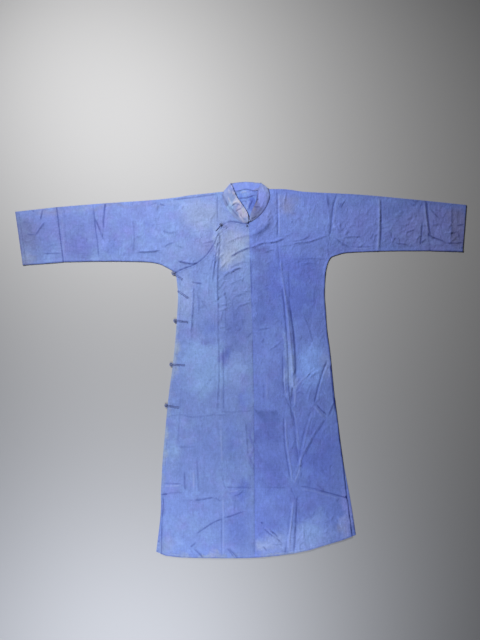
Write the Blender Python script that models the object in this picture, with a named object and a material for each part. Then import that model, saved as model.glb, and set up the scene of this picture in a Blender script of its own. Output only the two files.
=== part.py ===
# A changshan, a long blue cotton robe, laid flat with its front up.
# Metres, +Z up. X runs across the sleeves, with the wearer's left at +X, and Y runs from hem to collar.
# The origin is under the middle of the robe, on the surface that it lies on.

import math
from collections import namedtuple

import bmesh
import bpy
from mathutils import Vector
from mathutils.geometry import delaunay_2d_cdt

# Cloth and how its layers lie
CLOTH = 0.0012                  # wall of every panel
GAP = 0.0003                    # between pieces, and between layers
LEVEL = CLOTH + GAP             # from one layer's underside to the next one's
COLLAR_BAND = 0.0022            # double cloth
COLLAR_RISE = 0.0075            # how far the band's top edge stands up in front
UNDERLAP_HEM = -0.172           # lower edge of the inner front, under the flap
UNDERLAP_INSET = 0.016          # from the inner front's edge to the centre front seam
UNDERLAP_SIDE = 0.010           # from its side edge to the flap's, at the lowest frog
SETTLE = 0.026                  # length over which the flap comes down past the inner front's hem
SEAM_LIFT = 0.050               # width beside the centre seam that is lifted with the flap

# Mesh spacing
EDGE_STEP = 0.032
NECK_STEPS = (7, 9)             # left and right of the centre front
GRID_FRONT = 0.060
GRID_BACK = 0.140
FOLD_SIDES = 3                  # flats round the outside of a folded edge
CREASE_STEP = 0.036
CREASE_LINES = (-1.0, -0.5, 0.0, 0.5, 1.0)      # across a crease, in half widths
CREASE_ENDS = 0.2               # share of a crease's length over which each end dies away

# Neck opening: a rounded V
NECK_MIDDLE = 0.022
NECK_HALF_WIDTH = 0.096
NECK_LEVEL = 0.698              # where the opening is widest
NECK_DEPTH = 0.112
NECK_POWER = 1.6
NECK_CENTRE_ANGLE = math.radians(79)    # of the centre front seam, seen from the wearer's left

# Fasteners
CORD = 0.0030                   # diameter of the cord that the loops are made of
BALL = 0.0100                   # diameter of a ball knot
SMALL_BALL = 0.0070
RING = 0.0136                   # diameter of the loop's ring, along the middle of its cord

Point = namedtuple("Point", "x y")
Section = namedtuple("Section", "y back_right flap_right front_left back_left")
Seam = namedtuple("Seam", "top_x under_x")
Crease = namedtuple("Crease", "name half_width height path")
Frog = namedtuple("Frog", "name ball inner_end ball_size")

# The body below the armpits: a row for each level, with the x of each side edge
SECTIONS = (
    Section(0.300, -0.2505, -0.2505, 0.3340, 0.3340),
    Section(0.240, -0.2530, -0.2530, 0.3385, 0.3385),
    Section(0.160, -0.2580, -0.2580, 0.3440, 0.3440),
    Section(0.080, -0.2650, -0.2650, 0.3550, 0.3550),
    Section(0.000, -0.2740, -0.2740, 0.3635, 0.3635),
    Section(-0.090, -0.2860, -0.2860, 0.3725, 0.3725),
    Section(-0.180, -0.2955, -0.2955, 0.3840, 0.3840),
    Section(-0.270, -0.3040, -0.3040, 0.3950, 0.3950),
    Section(-0.350, -0.3115, -0.3110, 0.4060, 0.4065),
    Section(-0.420, -0.3155, -0.3145, 0.4140, 0.4195),
    Section(-0.490, -0.3190, -0.3170, 0.4220, 0.4330),
    Section(-0.530, -0.3185, -0.3120, 0.4275, 0.4400),
    Section(-0.575, -0.3200, -0.3160, 0.4340, 0.4475),
    Section(-0.625, -0.3250, -0.3190, 0.4405, 0.4550),
)
HEM_CORNERS = Section(None, -0.3380, -0.3205, 0.4450, 0.4600)

HEM = (
    Point(-0.338, -0.7265), Point(-0.299, -0.7420), Point(-0.235, -0.7490), Point(-0.171, -0.7510),
    Point(-0.075, -0.7520), Point(0.021, -0.7515), Point(0.085, -0.7480), Point(0.149, -0.7420),
    Point(0.213, -0.7330), Point(0.277, -0.7190), Point(0.341, -0.6990), Point(0.405, -0.6800),
    Point(0.460, -0.6590),
)
# Shoulders and the folded tops of the sleeves, from cuff to neck to cuff
RIGHT_TOP = (
    Point(-0.901, 0.6310), Point(-0.740, 0.6490), Point(-0.555, 0.6640), Point(-0.363, 0.6770),
    Point(-0.267, 0.6870), Point(-0.203, 0.6970), Point(-0.139, 0.7040), Point(-0.069, 0.7115),
)
LEFT_TOP = (
    Point(0.1135, 0.7220), Point(0.181, 0.7210), Point(0.245, 0.7120), Point(0.309, 0.7080),
    Point(0.437, 0.7020), Point(0.533, 0.6950), Point(0.629, 0.6860), Point(0.739, 0.6755),
    Point(0.9010, 0.6583),
)
# Underarm seams, from cuff to armpit and from armpit to cuff
RIGHT_UNDER = (
    Point(-0.871, 0.4205), Point(-0.779, 0.4270), Point(-0.700, 0.4335), Point(-0.555, 0.4360),
    Point(-0.395, 0.4345), Point(-0.331, 0.4270), Point(-0.295, 0.4110), Point(-0.2590, 0.3900),
)
LEFT_UNDER = (
    Point(0.3370, 0.3840), Point(0.3430, 0.4160), Point(0.353, 0.4420), Point(0.363, 0.4530),
    Point(0.381, 0.4600), Point(0.405, 0.4670), Point(0.437, 0.4710), Point(0.533, 0.4750),
    Point(0.629, 0.4770), Point(0.757, 0.4775), Point(0.8865, 0.4740),
)
# Centre front seam, which the centre back seam lies under
CENTRE_SEAM = (
    Point(0.022, 0.724), Point(0.034, 0.584), Point(0.036, 0.450), Point(0.040, 0.300),
    Point(0.047, 0.156), Point(0.053, -0.120), Point(0.055, -0.464), Point(0.057, -0.760),
)
BACK_NECK = (
    Point(-0.069, 0.7115), Point(-0.017, 0.7145), Point(0.022, 0.7230), Point(0.057, 0.7165),
    Point(0.1135, 0.7220),
)
# The flap's curved edge, from the neck to the armpit
FLAP_EDGE = (
    Point(0.033, 0.5845), Point(0.008, 0.5855), Point(-0.012, 0.5905), Point(-0.041, 0.5930),
    Point(-0.062, 0.5870), Point(-0.076, 0.5720), Point(-0.091, 0.5440), Point(-0.107, 0.5060),
    Point(-0.139, 0.4580), Point(-0.183, 0.4230), Point(-0.228, 0.4060), Point(-0.2585, 0.3910),
)
# The collar band: its folds at the sides, and its upper edge in front
COLLAR_RIGHT_FOLD = (Point(-0.0672, 0.7135), Point(-0.0540, 0.7300), Point(-0.0390, 0.7465))
COLLAR_TOP = Point(0.0200, 0.7520)
COLLAR_LEFT_FOLD = (Point(0.1115, 0.7240), Point(0.0950, 0.7370), Point(0.0800, 0.7475))
COLLAR_RIGHT_EDGE = (
    Point(-0.0390, 0.7465), Point(-0.0230, 0.7080), Point(-0.0120, 0.6860), Point(0.0080, 0.6570),
    Point(0.0200, 0.6400), Point(0.0280, 0.6220), Point(0.0305, 0.6050), Point(0.0310, 0.5950),
)
COLLAR_LEFT_EDGE = (
    Point(0.0350, 0.5950), Point(0.0360, 0.6080), Point(0.0440, 0.6370), Point(0.0550, 0.6570),
    Point(0.0620, 0.6780), Point(0.0650, 0.6980), Point(0.0690, 0.7180), Point(0.0800, 0.7475),
)

RIGHT_CUFF = Seam(-0.9010, -0.8710)
RIGHT_SLEEVE_SEAM = Seam(-0.7356, -0.7088)
LEFT_SLEEVE_SEAM = Seam(0.7384, 0.7570)
LEFT_CUFF = Seam(0.9010, 0.8865)

# The largest folds and pressed lines of the front
CREASES = (
    Crease("flap pressed line", 0.009, 0.0026, (
        (-0.087, 0.400), (-0.092, 0.300), (-0.090, 0.212), (-0.087, 0.036), (-0.091, -0.140),
        (-0.082, -0.296), (-0.077, -0.454), (-0.074, -0.720))),
    Crease("left front pressed line", 0.010, 0.0028, (
        (0.147, 0.680), (0.148, 0.560), (0.152, 0.480), (0.166, 0.388), (0.175, 0.272), (0.184, 0.156))),
    Crease("waist fold", 0.012, 0.0042, (
        (0.184, 0.240), (0.194, 0.150), (0.206, 0.050), (0.215, -0.066), (0.200, -0.156), (0.203, -0.240),
        (0.199, -0.420))),
    Crease("skirt inner fold", 0.010, 0.0030, (
        (0.164, -0.010), (0.176, -0.100), (0.174, -0.184), (0.183, -0.352), (0.197, -0.450), (0.220, -0.520))),
    Crease("skirt lower fold", 0.009, 0.0024, ((0.199, -0.480), (0.191, -0.620), (0.182, -0.715))),
    Crease("skirt upper slant", 0.011, 0.0036, (
        (0.344, 0.030), (0.314, -0.060), (0.288, -0.134), (0.254, -0.252), (0.232, -0.320), (0.208, -0.440))),
    Crease("skirt lower slant", 0.011, 0.0036, (
        (0.350, -0.155), (0.330, -0.195), (0.283, -0.275), (0.243, -0.342), (0.210, -0.460))),
    Crease("hip fold", 0.008, 0.0022, ((0.296, -0.142), (0.335, -0.184))),
    Crease("thigh line", 0.010, 0.0022, ((0.240, -0.467), (0.330, -0.488), (0.405, -0.506))),
    Crease("left knee line", 0.009, 0.0018, ((-0.300, -0.499), (-0.215, -0.506), (-0.095, -0.500))),
    Crease("middle knee line", 0.009, 0.0016, ((-0.060, -0.468), (0.030, -0.470))),
    Crease("right knee line", 0.009, 0.0016, ((0.075, -0.470), (0.165, -0.471))),
    Crease("hem pinch right", 0.008, 0.0024, ((-0.200, -0.690), (-0.170, -0.730))),
    Crease("hem pinch left", 0.009, 0.0028, ((0.088, -0.620), (0.165, -0.688))),
    Crease("breast fold", 0.010, 0.0028, ((-0.030, 0.455), (0.020, 0.478))),
    Crease("breast fold beyond the seam", 0.010, 0.0028, ((0.055, 0.493), (0.107, 0.509), (0.190, 0.530))),
    Crease("shoulder fold", 0.011, 0.0034, (
        (0.215, 0.505), (0.277, 0.518), (0.350, 0.545), (0.362, 0.600), (0.374, 0.672))),
    Crease("side line", 0.008, 0.0020, ((-0.187, 0.342), (-0.195, 0.155))),
    Crease("breast pinch", 0.009, 0.0024, ((-0.066, 0.377), (0.000, 0.409))),
    Crease("left sleeve elbow fold", 0.010, 0.0032, ((0.554, 0.665), (0.552, 0.580), (0.550, 0.493))),
    Crease("left sleeve lower fold", 0.008, 0.0022, ((0.416, 0.524), (0.490, 0.530))),
    Crease("left sleeve outer fold", 0.008, 0.0022, ((0.719, 0.630), (0.713, 0.505))),
    Crease("left cuff fold", 0.008, 0.0022, ((0.772, 0.534), (0.823, 0.515), (0.870, 0.509))),
    Crease("right sleeve elbow fold", 0.010, 0.0030, ((-0.589, 0.645), (-0.580, 0.560), (-0.569, 0.455))),
    Crease("right sleeve short fold", 0.008, 0.0022, ((-0.425, 0.600), (-0.431, 0.460))),
    Crease("right sleeve lower fold", 0.008, 0.0020, ((-0.407, 0.471), (-0.335, 0.477))),
    Crease("right shoulder fold", 0.010, 0.0026, ((-0.306, 0.496), (-0.230, 0.512), (-0.160, 0.515))),
    Crease("right cuff fold", 0.009, 0.0024, ((-0.800, 0.615), (-0.792, 0.580), (-0.825, 0.530))),
)

# Each frog's ball, outside the edge that it closes, and the inner end of its loop's strip
FROGS = (
    Frog("armpit", Point(-0.2690, 0.3870), Point(-0.2330, 0.3620), BALL),
    Frog("side_1", Point(-0.2615, 0.1970), Point(-0.2110, 0.1920), BALL),
    Frog("side_2", Point(-0.2770, 0.0220), Point(-0.2240, 0.0195), BALL),
    Frog("side_3", Point(-0.2968, -0.1420), Point(-0.2460, -0.1500), BALL),
)
CHEST_BALL = Point(-0.0790, 0.5810)
CHEST_LOOP_END = Point(-0.0560, 0.5690)
CHEST_TAIL_END = Point(-0.1010, 0.5560)
COLLAR_BALL = Point(0.0240, 0.5770)
SPARE_LOOP = (Point(-0.2490, 0.3150), Point(-0.2110, 0.2880))

FADED_BLUE = (0.30, 0.37, 0.68)
DEEP_BLUE = (0.19, 0.24, 0.52)
CORD_BLUE = (0.06, 0.08, 0.18)


def table_y(table, x):
    """Height of a table of points at one x, along straight runs between its rows."""
    for low, high in zip(table, table[1:]):
        if low.x <= x <= high.x:
            return low.y + (high.y - low.y) * (x - low.x) / (high.x - low.x)
    return table[0].y if x < table[0].x else table[-1].y


def seam_x(y):
    """Where the centre seam is at one height."""
    for high, low in zip(CENTRE_SEAM, CENTRE_SEAM[1:]):
        if y >= low.y:
            return low.x + (high.x - low.x) * (y - low.y) / (high.y - low.y)
    return CENTRE_SEAM[-1].x


def hem_middle():
    """Where the centre seam meets the hem."""
    x = seam_x(HEM[5].y)
    return Point(x, table_y(HEM, x))


def part_of(table, x_from, x_to):
    """The stretch of a table that runs from one x to another, in that direction."""
    low, high = sorted((x_from, x_to))
    inside = [p for p in table if low + 0.004 < p.x < high - 0.004]
    run = [Point(low, table_y(table, low)), *inside, Point(high, table_y(table, high))]
    return run if x_from < x_to else run[::-1]


def smooth(points, step=EDGE_STEP):
    """A curve through the points, in even steps of about the given length."""
    path = [Vector((*p[:2], 0.0)) for p in points]
    ends = [path[0] * 2 - path[1], *path, path[-1] * 2 - path[-2]]
    fine = []
    for a, b, c, d in zip(ends, ends[1:], ends[2:], ends[3:]):
        for i in range(12):
            t = i / 12
            fine.append(0.5 * (2 * b + (c - a) * t + (2 * a - 5 * b + 4 * c - d) * t ** 2
                               + (3 * b - a - 3 * c + d) * t ** 3))
    fine.append(path[-1])
    lengths = [0.0]
    for a, b in zip(fine, fine[1:]):
        lengths.append(lengths[-1] + (b - a).length)
    count = max(1, round(lengths[-1] / step))
    run = []
    k = 0
    for i in range(count + 1):
        want = lengths[-1] * i / count
        while k < len(fine) - 2 and lengths[k + 1] < want:
            k += 1
        share = (want - lengths[k]) / (lengths[k + 1] - lengths[k])
        at = fine[k].lerp(fine[k + 1], min(1.0, share))
        run.append(Point(at.x, at.y))
    return run


def neck_point(angle, inset=0.0):
    """A point of the neck opening's edge, at an angle from the wearer's left round to the right."""
    across = math.cos(angle)
    reach = 2 / NECK_POWER
    return Point(
        NECK_MIDDLE + (NECK_HALF_WIDTH - inset) * math.copysign(abs(across) ** reach, across),
        NECK_LEVEL - (NECK_DEPTH - inset) * math.sin(angle) ** reach)


def neck_left(inset=0.0):
    """The front neck edge from the shoulder to the centre, on the wearer's left."""
    steps = NECK_STEPS[0]
    return [neck_point(NECK_CENTRE_ANGLE * i / steps, inset) for i in range(steps + 1)]


def neck_right(inset=0.0):
    """The front neck edge from the centre to the shoulder, on the wearer's right."""
    steps = NECK_STEPS[1]
    rest = math.pi - NECK_CENTRE_ANGLE
    return [neck_point(NECK_CENTRE_ANGLE + rest * i / steps, inset) for i in range(steps + 1)]


def seam_run(y_from, y_to, side):
    """The centre seam between two heights, moved by half a gap to one side."""
    low, high = sorted((y_from, y_to))
    inside = [p for p in reversed(CENTRE_SEAM) if low + 0.01 < p.y < high - 0.01]
    run = [Point(seam_x(low), low), *inside, Point(seam_x(high), high)]
    run = [Point(p.x + side, p.y) for p in (run if y_from < y_to else run[::-1])]
    return smooth(run, 0.09)


def side_run(column, start, corner_x, down):
    """A side edge from the armpit's point to the hem's corner."""
    rows = [Point(getattr(row, column), row.y) for row in SECTIONS]
    run = smooth([start, *rows, Point(corner_x, table_y(HEM, corner_x))], 0.065)
    return run if down else run[::-1]


def join(*runs):
    """One closed outline from runs that follow each other, without repeated points."""
    outline = []
    for run in runs:
        for p in run:
            if not outline or math.dist(p, outline[-1]) > 1e-5:
                outline.append(Point(*p))
    if math.dist(outline[0], outline[-1]) < 1e-5:
        outline.pop()
    return outline


def distance_along(path, x, y):
    """Distance from a point to a path, and how far along the path the nearest place is, 0 to 1."""
    best = (math.inf, 0.0)
    total = sum(math.dist(a, b) for a, b in zip(path, path[1:]))
    gone = 0.0
    for a, b in zip(path, path[1:]):
        length = math.dist(a, b)
        t = ((x - a[0]) * (b[0] - a[0]) + (y - a[1]) * (b[1] - a[1])) / length ** 2
        t = min(1.0, max(0.0, t))
        gap = math.hypot(a[0] + (b[0] - a[0]) * t - x, a[1] + (b[1] - a[1]) * t - y)
        if gap < best[0]:
            best = (gap, (gone + length * t) / total)
        gone += length
    return best


def relief(x, y):
    """How far the folds lift the cloth at one place."""
    lift = 0.0
    for crease in CREASES:
        gap, along = distance_along(crease.path, x, y)
        if gap < crease.half_width:
            ends = min(1.0, min(along, 1.0 - along) / CREASE_ENDS)
            across = 0.5 + 0.5 * math.cos(math.pi * gap / crease.half_width)
            lift = max(lift, crease.height * ends * across)
    return lift


def ramp(value, low, high):
    """0 at low, 1 at high, and even in between."""
    return min(1.0, max(0.0, (value - low) / (high - low)))


def lifted(x, y):
    """1 where the front lies over the inner front, 0 where it lies on the back."""
    beside_seam = 1.0 - ramp(x - seam_x(y), 0.0, SEAM_LIFT)
    return beside_seam * ramp(y, UNDERLAP_HEM - SETTLE, UNDERLAP_HEM - 0.002)


def back_under(x, y):
    return 0.0


def front_under(x, y):
    """Underside of the top layer: the flap, and the left front that is sewn to it."""
    return LEVEL + LEVEL * lifted(x, y) + relief(x, y)


def sleeve_under(x, y):
    """Underside of a sleeve end's upper layer."""
    return LEVEL + relief(x, y)


def right_under(x, y):
    """Underside of the right front: it has its folds only where the flap doesn't cover it."""
    return LEVEL + relief(x, y) * ramp(y - table_y(FLAP_EDGE[::-1], x), 0.008, 0.024)


def collar_under(x, y):
    """Underside of the collar's front, which rises from the neck seam to its upper edge."""
    across = abs(x - NECK_MIDDLE) / NECK_HALF_WIDTH
    down = max(0.0, NECK_LEVEL - y) / NECK_DEPTH
    inside = 1.0 - min(1.0, across ** NECK_POWER + down ** NECK_POWER)
    return COLLAR_BAND + GAP + COLLAR_RISE * math.sqrt(inside)


def inside(outline, x, y, margin=0.0):
    """Whether a place is inside an outline, and at least a margin from its edge."""
    crossings = 0
    for a, b in zip(outline, outline[1:] + outline[:1]):
        if (a[1] > y) != (b[1] > y) and x < a[0] + (b[0] - a[0]) * (y - a[1]) / (b[1] - a[1]):
            crossings += 1
    if crossings % 2 == 0:
        return False
    return distance_along([*outline, outline[0]], x, y)[0] >= margin


def crease_lines(outline):
    """The ridge, flanks and feet of each crease, where they lie well inside an outline."""
    lines = []
    for crease in CREASES:
        ridge = smooth(crease.path, CREASE_STEP)
        for share in CREASE_LINES:
            offset = share * crease.half_width
            line = []
            for i, p in enumerate(ridge):
                before = ridge[max(0, i - 1)]
                after = ridge[min(len(ridge) - 1, i + 1)]
                along = Vector((after.x - before.x, after.y - before.y)).normalized()
                if offset and i in (0, len(ridge) - 1):
                    place = p
                else:
                    place = Point(p.x - along.y * offset, p.y + along.x * offset)
                line.append(place if inside(outline, *place, margin=0.0025) else None)
            lines.append(line)
    return lines


def triangulate(outline, lines, grid):
    """Triangles that fill an outline, with edges along the given lines and points on a loose grid."""
    points = [Vector(p) for p in outline]
    edges = [(i, (i + 1) % len(outline)) for i in range(len(outline))]
    for line in lines:
        last = None
        for place in line:
            if place is None:
                last = None
                continue
            points.append(Vector(place))
            if last is not None:
                edges.append((last, len(points) - 1))
            last = len(points) - 1
    fixed = list(points)
    xs = [p[0] for p in outline]
    ys = [p[1] for p in outline]
    row = 0
    y = min(ys) + grid / 2
    while y < max(ys):
        x = min(xs) + grid / 2 + (row % 2) * grid / 2
        while x < max(xs):
            near = min((p - Vector((x, y))).length for p in fixed)
            if near > grid * 0.45 and inside(outline, x, y, margin=grid * 0.3):
                points.append(Vector((x, y)))
            x += grid
        y += grid * 0.87
        row += 1
    found = delaunay_2d_cdt(points, edges, [list(range(len(outline)))], 1, 1e-6)
    places = [Point(v.x, v.y) for v in found[0]]
    triangles = []
    for face in found[2]:
        a, b, c = (places[i] for i in face)
        area = (b.x - a.x) * (c.y - a.y) - (b.y - a.y) * (c.x - a.x)
        triangles.append(tuple(face) if area > 0 else tuple(reversed(face)))
    return places, triangles


def key(p):
    return round(p[0] * 1e5), round(p[1] * 1e5)


class Layer:
    """One flat-lying layer of a piece: an outline, its underside's height, and its wall."""

    def __init__(self, outline, under, wall=CLOTH, lines=(), grid=GRID_FRONT):
        self.places, self.triangles = triangulate(outline, lines, grid)
        self.under = under
        self.wall = wall

    def build(self, mesh):
        """Adds the two faces of the cloth, and remembers the edge vertices by place."""
        heights = [self.under(*p) for p in self.places]
        low = [mesh.verts.new((*p, z)) for p, z in zip(self.places, heights)]
        high = [mesh.verts.new((*p, z + self.wall)) for p, z in zip(self.places, heights)]
        used = {}
        for a, b, c in self.triangles:
            mesh.faces.new((high[a], high[b], high[c]))
            mesh.faces.new((low[c], low[b], low[a]))
            for edge in ((a, b), (b, c), (c, a)):
                used[edge] = True
        self.rim = [(a, b) for a, b in used if (b, a) not in used]
        self.low = {key(self.places[i]): low[i] for i in range(len(low))}
        self.high = {key(self.places[i]): high[i] for i in range(len(high))}
        self.rim = [(key(self.places[a]), key(self.places[b])) for a, b in self.rim]

    def wall_up(self, mesh, folds):
        """Closes the cut edges, and leaves the folded ones."""
        for a, b in self.rim:
            if (a, b) not in folds:
                mesh.faces.new((self.low[a], self.low[b], self.high[b], self.high[a]))


def fold_over(mesh, back, front, run):
    """Joins two layers along a folded edge, given from right to left as the outlines go."""
    wall = max(back.wall, front.wall)
    keys = [key(p) for p in run]
    rings = []
    for i, k in enumerate(keys):
        before = run[max(0, i - 1)]
        after = run[min(len(run) - 1, i + 1)]
        along = Vector((after.x - before.x, after.y - before.y)).normalized()
        out = Vector((along.y, -along.x, 0.0))
        bottom = back.low[k].co
        top = front.high[k].co
        half = (top.z - bottom.z) / 2
        middle = Vector((run[i].x, run[i].y, bottom.z + half))
        ring = [back.low[k]]
        for j in range(1, FOLD_SIDES):
            angle = math.pi * j / FOLD_SIDES
            place = middle + out * (wall + GAP) * math.sin(angle) - Vector((0, 0, half * math.cos(angle)))
            ring.append(mesh.verts.new(place))
        ring.append(front.high[k])
        rings.append(ring)
    for i, (ring, following) in enumerate(zip(rings, rings[1:])):
        for j in range(FOLD_SIDES):
            mesh.faces.new((ring[j], following[j], following[j + 1], ring[j + 1]))
        a, b = keys[i], keys[i + 1]
        mesh.faces.new((back.high[b], back.high[a], front.low[a], front.low[b]))
    for ring, k, first in ((rings[0], keys[0], True), (rings[-1], keys[-1], False)):
        loop = [*ring, front.low[k], back.high[k]]
        tip = ring[FOLD_SIDES // 2]
        start = loop.index(tip)
        loop = loop[start:] + loop[:start]
        for b, c in zip(loop[1:], loop[2:]):
            mesh.faces.new((tip, b, c) if first else (tip, c, b))


def material(name, colour, roughness):
    made = bpy.data.materials.new(name)
    made.use_nodes = True
    shader = made.node_tree.nodes["Principled BSDF"]
    shader.inputs["Base Color"].default_value = (*colour, 1.0)
    shader.inputs["Roughness"].default_value = roughness
    shader.inputs["Metallic"].default_value = 0.0
    return made


def add_object(name, data, colour, roughness=0.9):
    data.materials.append(material(name, colour, roughness))
    made = bpy.data.objects.new(name, data)
    bpy.context.scene.collection.objects.link(made)
    return made


def cloth_piece(name, back, fronts, colour):
    """A piece of cloth: one layer, or a back layer with front layers folded over on to it."""
    mesh = bmesh.new()
    layers = [layer for layer in (back, *(front for front, run in fronts)) if layer]
    for layer in layers:
        layer.build(mesh)
    folds = set()
    for front, run in fronts:
        keys = [key(p) for p in run]
        folds.update(zip(keys, keys[1:]))
    for layer in layers:
        layer.wall_up(mesh, folds)
    for front, run in fronts:
        if run:
            fold_over(mesh, back, front, run)
    data = bpy.data.meshes.new(name)
    mesh.to_mesh(data)
    mesh.free()
    add_object(name, data, colour)


def seam_line(seam, top, under):
    """A sleeve's seam or cuff, from its top to its underside."""
    return [Point(seam.top_x, table_y(top, seam.top_x)), Point(seam.under_x, table_y(under, seam.under_x))]


def moved(run, dx):
    return [Point(p.x + dx, p.y) for p in run]


def left_panel():
    """Wearer's left front and back, folded at the shoulder, with the sleeve."""
    top = smooth(part_of(LEFT_TOP, LEFT_SLEEVE_SEAM.top_x - GAP / 2, LEFT_TOP[0].x))
    sleeve_seam = moved(seam_line(LEFT_SLEEVE_SEAM, LEFT_TOP, LEFT_UNDER), -GAP / 2)
    under = smooth(part_of(LEFT_UNDER, LEFT_UNDER[0].x, LEFT_SLEEVE_SEAM.under_x - GAP / 2), 0.04)
    sleeve_up = [under[-1], top[0]]
    neck = [Point(LEFT_TOP[0].x, LEFT_TOP[0].y), *neck_left()]
    seam_top = neck[-1].y
    front = join(
        seam_run(seam_top, hem_middle().y, GAP / 2),
        part_of(HEM, hem_middle().x + GAP / 2, HEM_CORNERS.front_left),
        side_run("front_left", LEFT_UNDER[0], HEM_CORNERS.front_left, down=False),
        under, sleeve_up, top, neck[:-1])
    back_neck = [p for p in smooth(BACK_NECK, 0.03) if p.x > seam_x(p.y) + 0.004][::-1]
    middle_y = table_y(BACK_NECK, seam_x(BACK_NECK[2].y))
    back = join(
        seam_run(middle_y, hem_middle().y, GAP / 2),
        part_of(HEM, hem_middle().x + GAP / 2, HEM_CORNERS.back_left),
        side_run("back_left", LEFT_UNDER[0], HEM_CORNERS.back_left, down=False),
        under, sleeve_up, top, back_neck)
    levels = [UNDERLAP_HEM - 0.002, UNDERLAP_HEM - SETTLE]
    beside = [Point(p.x + SEAM_LIFT, p.y) for p in seam_run(0.560, -0.240, 0.0)]
    steps = [[Point(seam_x(y) + d, y) for d in (0.004, 0.025, SEAM_LIFT - 0.002)] for y in levels]
    lines = crease_lines(front) + [beside] + steps
    cloth_piece(
        "left_panel", Layer(back, back_under, grid=GRID_BACK),
        [(Layer(front, front_under, lines=lines), top)], DEEP_BLUE)


def right_panel():
    """Wearer's right back, shoulder and sleeve, with the inner front that the flap covers."""
    top = smooth(part_of(RIGHT_TOP, RIGHT_TOP[-1].x, RIGHT_SLEEVE_SEAM.top_x + GAP / 2))
    under = smooth(part_of(RIGHT_UNDER, RIGHT_SLEEVE_SEAM.under_x + GAP / 2, RIGHT_UNDER[-1].x), 0.04)
    side = side_run("back_right", RIGHT_UNDER[-1], HEM_CORNERS.back_right, down=True)
    inner_side = [Point(p.x + UNDERLAP_SIDE * ramp(side[0].y - p.y, 0.0, 0.2), p.y)
                  for p in side if p.y > UNDERLAP_HEM + 0.02]
    inner_edge = [Point(p.x - UNDERLAP_INSET, p.y)
                  for p in seam_run(UNDERLAP_HEM, neck_right()[0].y - 0.004, 0.0)]
    corner = Point(inner_side[-1].x - 0.003, UNDERLAP_HEM)
    front = join(top, under, inner_side, [corner], inner_edge, neck_right()[1:])
    back_neck = [p for p in smooth(BACK_NECK, 0.03) if p.x < seam_x(p.y) - 0.004][::-1]
    middle_y = table_y(BACK_NECK, seam_x(BACK_NECK[2].y))
    back = join(
        top, under, side,
        part_of(HEM, HEM_CORNERS.back_right, hem_middle().x - GAP / 2),
        seam_run(hem_middle().y, middle_y, -GAP / 2), back_neck)
    flap_line = [Point(p.x, p.y + 0.004) for p in smooth(FLAP_EDGE[2:-1], 0.04)]
    flap_line = [p if inside(front, *p, margin=0.003) else None for p in flap_line]
    cloth_piece(
        "right_panel", Layer(back, back_under, grid=GRID_BACK),
        [(Layer(front, right_under, lines=crease_lines(front) + [flap_line]), top)], FADED_BLUE)


def front_flap():
    """The overlap, from the centre front seam to the wearer's right side edge."""
    edge = smooth(FLAP_EDGE, 0.028)
    side = side_run("flap_right", FLAP_EDGE[-1], HEM_CORNERS.flap_right, down=True)
    outline = join(
        edge, side,
        part_of(HEM, HEM_CORNERS.flap_right, hem_middle().x - GAP / 2),
        seam_run(hem_middle().y, FLAP_EDGE[0].y, -GAP / 2)[:-1])
    levels = [UNDERLAP_HEM - 0.002, UNDERLAP_HEM - SETTLE]
    steps = [[Point(-0.289 + 0.033 * i, y) for i in range(11)] for y in levels]
    cloth_piece(
        "front_flap", Layer(outline, front_under, lines=crease_lines(outline) + steps), [], FADED_BLUE)


def sleeve_end(name, top_table, under_table, seam, cuff, towards_body, colour):
    """A pieced-on sleeve end, folded at the top."""
    seam_top = seam.top_x - towards_body * GAP / 2
    seam_under = seam.under_x - towards_body * GAP / 2
    if towards_body > 0:
        top = smooth(part_of(top_table, seam_top, cuff.top_x))
        under = smooth(part_of(under_table, cuff.under_x, seam_under), 0.06)
    else:
        top = smooth(part_of(top_table, cuff.top_x, seam_top))
        under = smooth(part_of(under_table, seam_under, cuff.under_x), 0.06)
    outline = join(top, under)
    cloth_piece(
        name, Layer(outline, back_under, grid=GRID_BACK),
        [(Layer(outline, sleeve_under, lines=crease_lines(outline)), top)], colour)


def collar():
    """The band: its back lies beyond the neck, and its two fronts are folded over towards the centre."""
    right_fold = smooth(COLLAR_RIGHT_FOLD, 0.012)
    left_fold = smooth(COLLAR_LEFT_FOLD, 0.012)[::-1]
    back_seam = [Point(p.x, p.y + GAP) for p in smooth(BACK_NECK, 0.03)
                 if COLLAR_RIGHT_FOLD[0].x + 0.004 < p.x < COLLAR_LEFT_FOLD[0].x - 0.004]
    top_edge = [COLLAR_TOP]
    back = join(back_seam, left_fold[::-1], top_edge, right_fold[::-1])
    right_seam = neck_right(GAP)[1:][::-1]
    right_front = join(
        [right_fold[0]], right_seam, [Point(0.0300, 0.5895)],
        smooth(COLLAR_RIGHT_EDGE, 0.02)[::-1], right_fold[::-1])
    left_seam = neck_left(GAP)[:-1][::-1]
    left_front = join(
        [Point(0.0360, 0.5905)], left_seam, left_fold[::-1], smooth(COLLAR_LEFT_EDGE, 0.02)[::-1])
    fronts = []
    for outline, run in ((right_front, right_fold[::-1]), (left_front, left_fold[::-1])):
        fronts.append((Layer(outline, collar_under, COLLAR_BAND, grid=0.03), run))
    cloth_piece("collar", Layer(back, back_under, COLLAR_BAND, grid=0.05), fronts, FADED_BLUE)


def ball(name, place, size, z):
    """A ball knot."""
    mesh = bmesh.new()
    bmesh.ops.create_uvsphere(mesh, u_segments=10, v_segments=7, radius=size / 2)
    bmesh.ops.translate(mesh, verts=mesh.verts, vec=(place.x, place.y, z))
    data = bpy.data.meshes.new(name)
    mesh.to_mesh(data)
    mesh.free()
    data.shade_smooth()
    add_object(name, data, CORD_BLUE, 0.8)


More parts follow.
